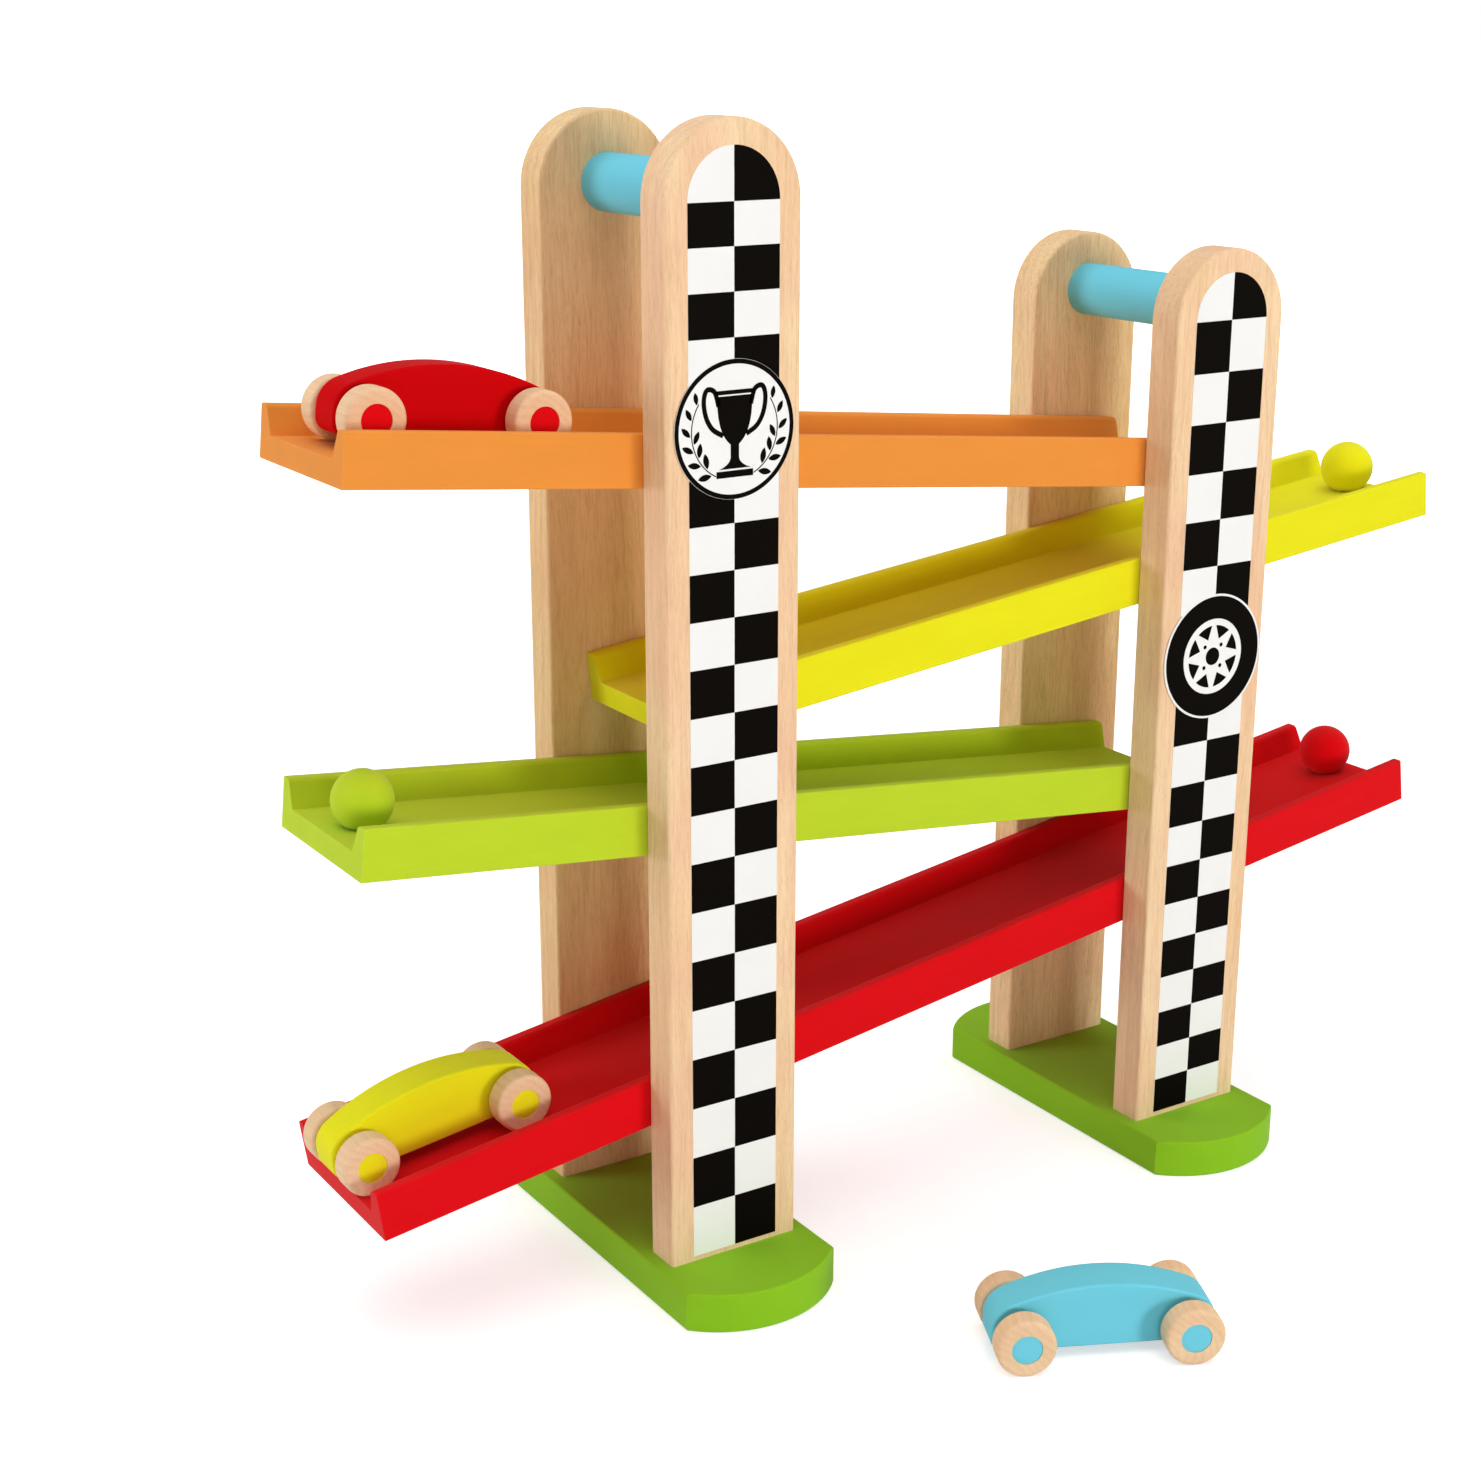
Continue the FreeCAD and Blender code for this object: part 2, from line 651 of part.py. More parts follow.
def makeAxle(car, end):
    """A dowel that turns in the car body and carries two wheels."""
    body = newBody("%s_car_%s_axle" % (car, end))
    section = newSketch(body, body.Name + "_section", "XZ_Plane")
    drawCircles(section, "Sizes.axleDiameter", [("0", "0")])
    pad(body, section, "Sizes.wheelTread - 2 * Sizes.capThick", bothWays=True)
    placeInCar(body, car, along=carEnds[end], above=wheelRadius)
    return body


def makeWheel(car, end, side):
    """A turned wooden wheel, bored for the axle and recessed outside for its cap."""
    body = newBody("%s_car_%s_%s_wheel" % (car, end, side))
    outer = "(Sizes.wheelTread / 2)"
    inner = "(Sizes.wheelTread / 2 - Sizes.wheelThick)"
    floor = "(Sizes.wheelTread / 2 - Sizes.capThick)"
    bore = "(Sizes.axleDiameter / 2 + Sizes.glueGap / 2)"
    recess = "(Sizes.capDiameter / 2 + Sizes.glueGap / 2)"
    edge = "Sizes.wheelRounding"
    shoulder = "(%s - %s * (1 - sqrt(0.5)))" % (wheelRadius, edge)
    sign = "-" if side == "near" else ""

    def at(radius, across):
        return (radius, sign + across)

    section = newSketch(body, body.Name + "_section", "XY_Plane")
    drawOutline(section, at(bore, inner), [
        at("%s - %s" % (wheelRadius, edge), inner),
        at(shoulder, "(%s + %s * (1 - sqrt(0.5)))" % (inner, edge))
        + at(wheelRadius, "(%s + %s)" % (inner, edge)),
        at(wheelRadius, "(%s - %s)" % (outer, edge)),
        at(shoulder, "(%s - %s * (1 - sqrt(0.5)))" % (outer, edge))
        + at("%s - %s" % (wheelRadius, edge), outer),
        at(recess, outer),
        at(recess, floor),
        at(bore, floor),
        at(bore, inner),
    ])
    spin(body, section, "Y_Axis")
    placeInCar(body, car, along=carEnds[end], above=wheelRadius)
    return body


def makeCap(car, end, side):
    """A painted plug, flush with the wheel's outer face, that hides the axle's end."""
    body = newBody("%s_car_%s_%s_hub_cap" % (car, end, side))
    outward = side == "near"
    section = newSketch(body, body.Name + "_section", "XZ_Plane",
                        "(Sizes.wheelTread / 2 - Sizes.capThick) * %d" % (1 if outward else -1))
    drawCircles(section, "Sizes.capDiameter", [("0", "0")])
    pad(body, section, "Sizes.capThick", reverse=not outward)
    placeInCar(body, car, along=carEnds[end], above=wheelRadius)
    return body


def makeCar(car):
    """A car body with two wheel sets."""
    pieces = [makeCarBody(car)]
    for end in ("front", "rear"):
        pieces.append(makeAxle(car, end))
        for side in ("near", "far"):
            pieces.append(makeWheel(car, end, side))
            pieces.append(makeCap(car, end, side))
    return pieces


# The whole set
nodes = []
for pillar in ("left", "right"):
    nodes.append(makeBase(pillar))
    nodes.append(makeUpright(pillar, "front"))
    nodes.append(makeUpright(pillar, "back"))
    nodes.append(makeCrossbar(pillar))
    nodes.append(makeStrip(pillar))
nodes.append(makeBadge("trophy_badge_sticker", "left", "Sizes.trophyBadge", "Sizes.trophyHeight"))
nodes.append(makeBadge("wheel_badge_sticker", "right", "Sizes.wheelBadge", "Sizes.wheelBadgeHeight"))
for track in tracks:
    nodes.append(makeTrack(track))
for track in tracks[1:]:
    nodes.append(makeBall(track))
nodes.append(makePins())
nodes.append(makeDowels())
nodes.append(makeScrews())
for car in ("red", "yellow", "blue"):
    nodes.extend(makeCar(car))
doc.recompute()

# Every object and every piece is sound before anything is written
for item in doc.Objects:
    if "Invalid" in item.State or "Error" in item.State:
        raise ValueError("%s did not recompute" % item.Label)
for item in nodes:
    if item.Shape.isNull() or not item.Shape.isValid():
        raise ValueError("%s has no sound shape" % item.Label)

os.makedirs("parts", exist_ok=True)
for item in nodes:
    item.Shape.exportStep("parts/%s.step" % item.Label)
print("%d pieces written" % len(nodes))
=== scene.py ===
import json
import math

import bmesh
import bpy
from mathutils import Matrix, Vector


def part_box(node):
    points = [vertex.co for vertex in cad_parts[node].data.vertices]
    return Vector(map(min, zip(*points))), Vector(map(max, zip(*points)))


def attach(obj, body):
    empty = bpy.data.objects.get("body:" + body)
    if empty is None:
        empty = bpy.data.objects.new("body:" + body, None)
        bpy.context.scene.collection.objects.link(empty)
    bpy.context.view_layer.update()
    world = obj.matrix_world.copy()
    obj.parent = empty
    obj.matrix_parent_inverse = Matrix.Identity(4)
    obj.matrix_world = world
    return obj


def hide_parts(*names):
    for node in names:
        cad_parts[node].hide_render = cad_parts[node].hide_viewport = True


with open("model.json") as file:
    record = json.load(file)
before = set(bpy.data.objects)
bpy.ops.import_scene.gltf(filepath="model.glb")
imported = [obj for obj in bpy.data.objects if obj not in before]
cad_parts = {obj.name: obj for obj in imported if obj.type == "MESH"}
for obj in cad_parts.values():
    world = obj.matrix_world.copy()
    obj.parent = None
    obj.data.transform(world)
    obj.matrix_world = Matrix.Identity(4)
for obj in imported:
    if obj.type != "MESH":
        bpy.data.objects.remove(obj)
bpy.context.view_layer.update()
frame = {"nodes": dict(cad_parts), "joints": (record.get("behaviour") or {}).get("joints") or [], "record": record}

mm = 0.001
nodes = frame["nodes"]
joints = {joint["name"]: joint for joint in frame["joints"]}
slotOf = {part["node"]: part["material_slot"] for part in frame["record"]["subparts"]}
bodyOf = {node: body for body, members in frame["record"]["behaviour"]["bodies"].items()
          for node in members}
print("frame loaded:", len(nodes), "nodes")


# Small helpers for node trees

def fill(tree, sockets, values):
    # each socket gets a number, a colour of three numbers, or a link from another node
    for name, value in values.items():
        socket = sockets[name]
        if isinstance(value, bpy.types.NodeSocket):
            tree.links.new(value, socket)
        else:
            socket.default_value = (*value, 1) if socket.type == "RGBA" else value


def addNode(tree, kind, inputs=None, **settings):
    node = tree.nodes.new(kind)
    for name, value in settings.items():
        setattr(node, name, value)
    fill(tree, node.inputs, inputs or {})
    return node


def calc(tree, operation, *values, clamp=False):
    return addNode(tree, "ShaderNodeMath", dict(enumerate(values)),
                   operation=operation, use_clamp=clamp).outputs[0]


def vectorCalc(tree, operation, *values, output=0):
    return addNode(tree, "ShaderNodeVectorMath", dict(enumerate(values)),
                   operation=operation).outputs[output]


def joinXYZ(tree, *values):
    return addNode(tree, "ShaderNodeCombineXYZ", dict(enumerate(values))).outputs[0]


def mixColours(tree, factor, first, second):
    return addNode(tree, "ShaderNodeMix", {0: factor, 6: first, 7: second},
                   data_type="RGBA").outputs[2]


def shaded(tree, colour, share):
    return addNode(tree, "ShaderNodeVectorMath", {0: colour, "Scale": share},
                   operation="SCALE").outputs[0]


def around(tree, value, middle, change):
    # a value from 0 to 1 becomes one that changes by this much about the middle
    return calc(tree, "MULTIPLY_ADD", value, change, middle - change / 2)


def spread(tree, value, fromLow, fromHigh, toLow=0.0, toHigh=1.0):
    return addNode(tree, "ShaderNodeMapRange",
                   {0: value, 1: fromLow, 2: fromHigh, 3: toLow, 4: toHigh},
                   interpolation_type="SMOOTHSTEP").outputs[0]


def newGroup(name, kind, inputs, outputs):
    # every input and output is named with the kind of value that it takes
    tree = bpy.data.node_groups.new(name, kind)
    for way, sockets in (("INPUT", inputs), ("OUTPUT", outputs)):
        for label, value in sockets.items():
            tree.interface.new_socket(label, in_out=way, socket_type="NodeSocket" + value)
    source = tree.nodes.new("NodeGroupInput").outputs
    sink = tree.nodes.new("NodeGroupOutput").inputs
    return tree, source, sink


def namedInputs(tree):
    # a group's inputs by names in this script's way, so that Ring Width is found as ringWidth
    return {item.name[0].lower() + item.name[1:].replace(" ", ""): item
            for item in tree.interface.items_tree if item.in_out == "INPUT"}


def placeGroup(tree, group, **values):
    sockets = namedInputs(group)
    inputs = {sockets[key].name: value for key, value in values.items()}
    return addNode(tree, "ShaderNodeGroup", inputs, node_tree=group).outputs


# Shared surface effects, one shader group each. Vectors are in millimetres, grain along Z.

surfaceOutputs = {"Colour": "Color", "Roughness": "Float", "Height": "Float"}
# each pattern's cell in millimetres across and along the grain, and the noise it sets in between
patterns = {
    "sway": {"cell": (34, 130)},
    "tone": {"cell": (18, 60), "contrast": (0.34, 0.66)},
    "blush": {"cell": (26, 40), "detail": 1, "contrast": (0.40, 0.72)},
    "band": {"cell": (2.4, 55), "detail": 3, "roughness": 0.55, "contrast": (0.40, 0.64)},
    "streaks": {"cell": (0.9, 17), "detail": 3, "roughness": 0.66, "contrast": (0.44, 0.68)},
    "fibre": {"cell": (0.26, 4.5), "detail": 3, "roughness": 0.62, "contrast": (0.40, 0.68)},
    "fleck": {"cell": (0.55, 3.8), "contrast": (0.34, 0.10)},
    "fleckPatch": {"cell": (5, 14), "detail": 1, "contrast": (0.36, 0.62)},
    "mottle": {"cell": (9, 22), "detail": 3, "contrast": (0.38, 0.66)},
    "pull": {"cell": (0.9, 30), "detail": 3, "roughness": 0.6},
    "peel": {"cell": (0.8, 0.8), "detail": 1},
    "cloud": {"cell": (12, 12), "detail": 3},
    "grit": {"cell": (0.5, 0.5), "detail": 1},
    "turning": {"cell": (1.4, 0.12), "detail": 3},
    "zinc": {"cell": (1.1, 1.1)},
}


def stretched(tree, vector, name):
    across, along = patterns[name]["cell"]
    return vectorCalc(tree, "MULTIPLY", vector, (1 / across, 1 / across, 1 / along))


def noise(tree, vector, name, output="Fac"):
    look = patterns[name]
    return addNode(tree, "ShaderNodeTexNoise", {
        "Vector": stretched(tree, vector, name), "Scale": 1.0,
        "Detail": look.get("detail", 2), "Roughness": look.get("roughness", 0.5)}).outputs[output]


def contrast(tree, value, name, toLow=0.0, toHigh=1.0):
    return spread(tree, value, *patterns[name]["contrast"], toLow, toHigh)


# the sway is in millimetres, the late wood and the ring's end are shares of a ring
woodSurface = {"sway": 7, "lateWood": (0.25, 0.9), "ringEnd": (1.0, 0.93), "blushShare": 0.7,
               "fewestFlecks": 0.25, "roughness": 0.54, "roughnessChange": 0.16,
               "fibreHeight": 0.6, "fleckHeight": -0.8}


def makeWoodGrain():
    tree, source, sink = newGroup("woodGrain", "ShaderNodeTree", {
        "Vector": "Vector", "Pale": "Color", "Warm": "Color", "Blush": "Color", "Dark": "Color",
        "Ring Width": "Float", "Ring Strength": "Float", "Band Strength": "Float",
        "Fibre Strength": "Float", "Fleck Strength": "Float"}, surfaceOutputs)
    look = woodSurface
    vector = source["Vector"]

    # the trunk is never quite round or straight
    sway = look["sway"]
    shift = vectorCalc(tree, "MULTIPLY_ADD", noise(tree, vector, "sway", output="Color"),
                       (2 * sway, 2 * sway, 0), (-sway, -sway, 0))
    bent = vectorCalc(tree, "ADD", vector, shift)
    x, y = addNode(tree, "ShaderNodeSeparateXYZ", {0: bent}).outputs[:2]
    squares = calc(tree, "MULTIPLY_ADD", x, x, calc(tree, "MULTIPLY", y, y))
    rings = calc(tree, "DIVIDE", calc(tree, "SQRT", squares), source["Ring Width"])
    phase = calc(tree, "FRACT", rings)
    late = calc(tree, "MULTIPLY", spread(tree, phase, *look["lateWood"]),
                spread(tree, phase, *look["ringEnd"]))

    tone = noise(tree, bent, "tone")
    blush = noise(tree, vector, "blush")
    band = noise(tree, bent, "band")
    streaks = noise(tree, bent, "streaks")
    fibre = noise(tree, bent, "fibre")
    cells = addNode(tree, "ShaderNodeTexVoronoi",
                    {"Vector": stretched(tree, bent, "fleck"), "Scale": 1.0, "Randomness": 1.0})
    patches = contrast(tree, noise(tree, vector, "fleckPatch"), "fleckPatch", look["fewestFlecks"])
    fleck = calc(tree, "MULTIPLY", contrast(tree, cells.outputs["Distance"], "fleck"), patches)

    # the wood leans to its yellow or its rosy side before anything darkens it
    colour = mixColours(tree, contrast(tree, tone, "tone"), source["Pale"], source["Warm"])
    rosy = contrast(tree, blush, "blush", 0.0, look["blushShare"])
    colour = mixColours(tree, rosy, colour, source["Blush"])
    streak = calc(tree, "MULTIPLY", contrast(tree, band, "band"), source["Band Strength"])
    colour = mixColours(tree, streak, colour, source["Blush"])
    lines = calc(tree, "ADD", contrast(tree, fibre, "fibre"), contrast(tree, streaks, "streaks"))
    darker = calc(tree, "ADD", calc(tree, "MULTIPLY", late, source["Ring Strength"]),
                  calc(tree, "MULTIPLY", lines, source["Fibre Strength"]), clamp=True)
    colour = mixColours(tree, darker, colour, source["Dark"])
    speckle = calc(tree, "MULTIPLY", fleck, source["Fleck Strength"])
    fill(tree, sink, {
        "Colour": mixColours(tree, speckle, colour, source["Dark"]),
        "Roughness": around(tree, fibre, look["roughness"], look["roughnessChange"]),
        "Height": calc(tree, "MULTIPLY_ADD", fleck, look["fleckHeight"],
                       calc(tree, "MULTIPLY", fibre, look["fibreHeight"]))})
    return tree


paintSurface = {"mottleShade": 0.10, "pullShade": 0.05, "leastWear": 0.25, "wear": 0.30,
                "roughness": 0.55, "roughnessChange": 0.14, "peelHeight": 0.35}


def makePaintFilm():
    tree, source, sink = newGroup("paintFilm", "ShaderNodeTree", {
        "Vector": "Vector", "Colour": "Color", "Thin Colour": "Color", "Edge": "Float",
        "Relief": "Float"}, surfaceOutputs)
    look = paintSurface
    mottle, pull, peel = (noise(tree, source["Vector"], pattern)
                          for pattern in ("mottle", "pull", "peel"))
    shade = around(tree, mottle, 1 - look["pullShade"] / 2, look["mottleShade"])
    shade = calc(tree, "MULTIPLY_ADD", pull, look["pullShade"], shade)
    worn = calc(tree, "MULTIPLY", source["Edge"],
                contrast(tree, mottle, "mottle", look["leastWear"]))
    fill(tree, sink, {
        "Colour": mixColours(tree, calc(tree, "MULTIPLY", worn, look["wear"]),
                             shaded(tree, source["Colour"], shade), source["Thin Colour"]),
        "Roughness": around(tree, mottle, look["roughness"], look["roughnessChange"]),
        "Height": calc(tree, "MULTIPLY_ADD", peel, look["peelHeight"],
                       calc(tree, "MULTIPLY", pull, source["Relief"]))})
    return tree


# how far the softened normal agrees with the face's own, where wear sets in and where it is full
edgeLook = {"samples": 4, "flat": 0.995, "worn": 0.86}


def makeEdgeWear():
    tree, source, sink = newGroup("edgeWear", "ShaderNodeTree", {"Width": "Float"},
                                  {"Edge": "Float"})
    width = calc(tree, "MULTIPLY", source["Width"], mm)
    rounded = addNode(tree, "ShaderNodeBevel", {"Radius": width}, samples=edgeLook["samples"])
    straight = tree.nodes.new("ShaderNodeNewGeometry").outputs["Normal"]
    along = vectorCalc(tree, "DOT_PRODUCT", rounded.outputs[0], straight, output="Value")
    fill(tree, sink, {"Edge": spread(tree, along, edgeLook["flat"], edgeLook["worn"])})
    return tree


woodGrain = makeWoodGrain()
paintFilm = makePaintFilm()
edgeWear = makeEdgeWear()
print("surface effects built")


# Materials. Every piece made here carries its own grain coordinates in millimetres.

def newMaterial(name, values):
    material = bpy.data.materials.new(name)
    material.use_nodes = True
    tree = material.node_tree
    tree.nodes.clear()
    shader = addNode(tree, "ShaderNodeBsdfPrincipled", values)
    addNode(tree, "ShaderNodeOutputMaterial", {0: shader.outputs[0]})
    return material, tree, shader


def grainVector(tree):
    return addNode(tree, "ShaderNodeAttribute", attribute_name="grain").outputs["Vector"]


def objectVector(tree, turn=0):
    # the whole object's own coordinates in millimetres, turned about X by these degrees
    place = tree.nodes.new("ShaderNodeTexCoord").outputs["Object"]
    return addNode(tree, "ShaderNodeMapping", {
        "Vector": place, "Scale": (1 / mm, 1 / mm, 1 / mm),
        "Rotation": (math.radians(turn), 0, 0)}).outputs[0]


def finishSurface(tree, shader, colour, roughness, height, bump):
    # the bump is a strength and a depth in millimetres
    strength, depth = bump
    relief = addNode(tree, "ShaderNodeBump",
                     {"Height": height, "Strength": strength, "Distance": depth * mm})
    fill(tree, shader.inputs, {"Base Color": colour, "Roughness": roughness,
                               "Normal": relief.outputs[0]})


woods = {
    "boardWood": {"pale": (0.98, 0.73, 0.45), "warm": (0.94, 0.65, 0.38),
                  "blush": (0.90, 0.56, 0.36), "dark": (0.52, 0.27, 0.12),
                  "ringWidth": 4.2, "ringStrength": 0.06, "bandStrength": 0.36,
                  "fibreStrength": 0.17, "fleckStrength": 0.22},
    # painted shade: this copy of the board wood is darker and more saturated, standing in for the shade on the
    # back left board
    "rearBoardWood": {"pale": (0.95, 0.69, 0.38), "warm": (0.90, 0.62, 0.32),
                      "blush": (0.87, 0.54, 0.29), "dark": (0.46, 0.24, 0.09),
                      "ringWidth": 3.6, "ringStrength": 0.08, "bandStrength": 0.36,
                      "fibreStrength": 0.20, "fleckStrength": 0.24},
    # painted light: this copy of the board wood is yellower, standing in for the yellow-green light bounced onto
    # the back right board from the tracks
    "oliveBoardWood": {"pale": (0.98, 0.76, 0.45), "warm": (0.95, 0.69, 0.38),
                       "blush": (0.91, 0.60, 0.34), "dark": (0.44, 0.25, 0.08),
                       "ringWidth": 3.9, "ringStrength": 0.08, "bandStrength": 0.40,
                       "fibreStrength": 0.22, "fleckStrength": 0.30},
    "wheelWood": {"pale": (0.93, 0.67, 0.42), "warm": (0.88, 0.60, 0.36),
                  "blush": (0.85, 0.53, 0.34), "dark": (0.56, 0.31, 0.16),
                  "ringWidth": 2.3, "ringStrength": 0.13, "bandStrength": 0.22,
                  "fibreStrength": 0.10, "fleckStrength": 0.14},
    "dowelWood": {"pale": (0.84, 0.60, 0.37), "warm": (0.78, 0.54, 0.32),
                  "blush": (0.80, 0.50, 0.33), "dark": (0.46, 0.27, 0.14),
                  "ringWidth": 1.4, "ringStrength": 0.20, "bandStrength": 0.30,
                  "fibreStrength": 0.20, "fleckStrength": 0.30},
}
woodFinish = {"gloss": 0.06, "edgeWidth": 0.9, "edgePolish": 0.10, "polished": (0.95, 0.76, 0.55),
              "bump": (0.35, 0.05)}


def makeWood(name):
    look = woodFinish
    material, tree, shader = newMaterial(name, {"Specular IOR Level": look["gloss"]})
    # dowels, pins and axles keep their CAD shape, and their grain runs along the object's depth
    vector = objectVector(tree, 90) if name == "dowelWood" else grainVector(tree)
    grain = placeGroup(tree, woodGrain, vector=vector, **woods[name])
    edge = placeGroup(tree, edgeWear, width=look["edgeWidth"])["Edge"]
    polished = mixColours(tree, calc(tree, "MULTIPLY", edge, look["edgePolish"]),
                          grain["Colour"], look["polished"])
    finishSurface(tree, shader, polished, grain["Roughness"], grain["Height"], look["bump"])
    return material


paints = {
    "orange": {"colour": (0.847, 0.296, 0.048), "thin": (0.93, 0.50, 0.20), "haze": 0.10},
    "yellow": {"colour": (0.839, 0.791, 0.010), "thin": (0.93, 0.88, 0.30), "haze": 0.10},
    "lime": {"colour": (0.521, 0.680, 0.026), "thin": (0.72, 0.80, 0.25), "haze": 0.10},
    "red": {"colour": (0.745, 0.002, 0.006), "thin": (0.80, 0.12, 0.08), "haze": 0.10},
    # painted shade: the red car's paint is the track red darkened, standing in for the shade that falls on the car
    "deepRed": {"colour": (0.600, 0.002, 0.004), "thin": (0.68, 0.07, 0.05), "haze": 0.0},
    "base_green": {"colour": (0.262, 0.560, 0.016), "thin": (0.42, 0.66, 0.14), "haze": 0.10},
    "light_blue": {"colour": (0.168, 0.635, 0.785), "thin": (0.36, 0.72, 0.82), "haze": 0.05},
}
paintFinish = {"gloss": 0.01, "hazeRoughness": 0.5, "edgeWidth": 0.6, "relief": 0.6,
               "bump": (0.25, 0.04)}


def makePaint(name):
    look, paint = paintFinish, paints[name]
    # the lacquer barely mirrors, and its haze pales it where it is seen along its surface
    material, tree, shader = newMaterial(name + "Paint", {
        "Specular IOR Level": look["gloss"], "Sheen Weight": paint["haze"],
        "Sheen Roughness": look["hazeRoughness"]})
    edge = placeGroup(tree, edgeWear, width=look["edgeWidth"])["Edge"]
    film = placeGroup(tree, paintFilm, vector=grainVector(tree), colour=paint["colour"],
                      thinColour=paint["thin"], edge=edge, relief=look["relief"])
    finishSurface(tree, shader, film["Colour"], film["Roughness"], film["Height"], look["bump"])
    return material


films = {
    "stickerWhite": {"colour": (0.915, 0.905, 0.885), "roughness": 0.34, "gloss": 0.06},
    "stickerInk": {"colour": (0.0035, 0.0025, 0.0018), "roughness": 0.42, "gloss": 0.012},
}
filmFinish = {"shadeChange": 0.05, "roughnessChange": 0.12, "gritHeight": 0.2, "bump": (0.12, 0.05)}


def makeFilm(name):
    look, film = filmFinish, films[name]
    material, tree, shader = newMaterial(name, {"Specular IOR Level": film["gloss"]})
    cloud, grit = (noise(tree, grainVector(tree), pattern) for pattern in ("cloud", "grit"))
    colour = shaded(tree, film["colour"], around(tree, cloud, 1.0, look["shadeChange"]))
    roughness = around(tree, cloud, film["roughness"], look["roughnessChange"])
    height = calc(tree, "MULTIPLY_ADD", grit, look["gritHeight"], cloud)
    finishSurface(tree, shader, colour, roughness, height, look["bump"])
    return material


steel = {"dark": (0.52, 0.52, 0.50), "pale": (0.70, 0.70, 0.68), "roughness": 0.345,
         "roughnessChange": 0.25, "bump": (0.2, 0.02)}


def makeSteel():
    material, tree, shader = newMaterial("screwSteel", {"Metallic": 1.0})
    turned, zinc = (noise(tree, objectVector(tree), pattern) for pattern in ("turning", "zinc"))
    colour = mixColours(tree, zinc, steel["dark"], steel["pale"])
    roughness = around(tree, turned, steel["roughness"], steel["roughnessChange"])
    finishSurface(tree, shader, colour, roughness, turned, steel["bump"])
    return material


woodOf = {name: makeWood(name) for name in woods}
paintOf = {name: makePaint(name) for name in paints}
stickerWhite = makeFilm("stickerWhite")
stickerInk = makeFilm("stickerInk")
screwSteel = makeSteel()
print("materials built:", len(bpy.data.materials))


# Making pieces

tiny = 1e-7  # in metres: places nearer than this are one


def faceOutward(bm):
    bmesh.ops.recalc_face_normals(bm, faces=bm.faces[:])
    if bm.calc_volume(signed=True) < 0:
        bmesh.ops.reverse_faces(bm, faces=bm.faces[:])


def markCreases(bm, creaseAngle=38):
    for face in bm.faces:
        face.smooth = True
    for edge in bm.edges:
        edge.smooth = edge.is_manifold and edge.calc_face_angle() < math.radians(creaseAngle)


def meshFrom(bm):
    mesh = bpy.data.meshes.new("shape")
    bm.to_mesh(mesh)
    bm.free()
    return mesh


def addObject(name, data):
    thing = bpy.data.objects.new(name, data)
    bpy.context.scene.collection.objects.link(thing)
    return thing


def takeShape(piece):
    # the shape of a piece that isn't needed any more, without its material
    bm = bmesh.new()
    bm.from_mesh(piece.data)
    bpy.data.objects.remove(piece)
    for face in bm.faces:
        face.material_index = 0
    return bm


def joined(shapes):
    # one shape of several closed ones
    whole = bmesh.new()
    for shape in shapes:
        whole.from_mesh(meshFrom(shape))
    return whole


def bakeModifiers(piece):
    graph = bpy.context.evaluated_depsgraph_get()
    mesh = bpy.data.meshes.new_from_object(piece.evaluated_get(graph))
    mesh.name = piece.name
    piece.modifiers.clear()
    piece.data = mesh


def addGrain(mesh, along, heart):
    # the heart of the tree lies this far from the piece's own middle, in millimetres
    order = {"x": (1, 2, 0), "y": (2, 0, 1), "z": (0, 1, 2)}[along]
    grain = mesh.attributes.new("grain", "FLOAT_VECTOR", "POINT")
    for vertex, entry in zip(mesh.vertices, grain.data):
        entry.vector = [vertex.co[axis] / mm + move for axis, move in zip(order, (*heart, 0))]


def makePiece(name, bm, node, material, place, grain="x", heart=(70, 20), printed=False):
    # a print lies on its node's piece, every other piece takes its node's place
    markCreases(bm)
    mesh = meshFrom(bm)
    mesh.materials.append(material)
    addGrain(mesh, grain, heart)
    mesh.transform(place)
    piece = addObject(name, mesh)
    piece.modifiers.new("evenShading", "WEIGHTED_NORMAL").keep_sharp = True
    bakeModifiers(piece)
    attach(piece, bodyOf[node])
    if not printed:
        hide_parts(node)


def joinLoops(bm, loops):
    # bands of faces between each loop of points and the next
    for here, there in zip(loops, loops[1:]):
        for step in range(len(here)):
            after = (step + 1) % len(here)
            bm.faces.new((here[step], here[after], there[after], there[step]))


def extrudeOutline(outline, depth):
    # a flat outline in XY, thickened along +Z
    bm = bmesh.new()
    loops = [[bm.verts.new((x, y, height)) for x, y in outline] for height in (0, depth)]
    for loop in loops:
        bm.faces.new(loop)
    joinLoops(bm, loops)
    faceOutward(bm)
    return bm


def lathe(profile, segments):
    # a profile of (radius, height) turned about Z, with its ends on the axis
    bm = bmesh.new()
    rings = []
    for radius, height in profile:
        if radius == 0:
            rings.append([bm.verts.new((0, 0, height))])
        else:
            rings.append([bm.verts.new((x, y, height)) for x, y in wholeCircle(radius, segments)])
    for lower, upper in zip(rings, rings[1:]):
        for step in range(segments):
            after = (step + 1) % segments
            corners = [lower[step % len(lower)], lower[after % len(lower)],
                       upper[after % len(upper)], upper[step % len(upper)]]
            unique = list(dict.fromkeys(corners))
            if len(unique) > 2:
                bm.faces.new(unique)
    faceOutward(bm)
    return bm


def arcPoints(centre, radius, first, last, steps):
    turns = [math.radians(first + (last - first) * step / steps) for step in range(steps + 1)]
    return [(centre[0] + radius * math.cos(a), centre[1] + radius * math.sin(a)) for a in turns]


def wholeCircle(radius, steps):
    return arcPoints((0, 0), radius, 0, 360, steps)[:-1]


def roundTopped(width, bottom, top, steps=32):
    # an outline with a half-round top, its middle on the Y axis
    half = width / 2
    return [(-half, bottom), (half, bottom)] + arcPoints((0, top - half), half, 0, 180, steps)


def roundEdges(bm, edges, radius, steps):
    bmesh.ops.bevel(bm, geom=edges, offset=radius, affect="EDGES", segments=steps, profile=0.5)


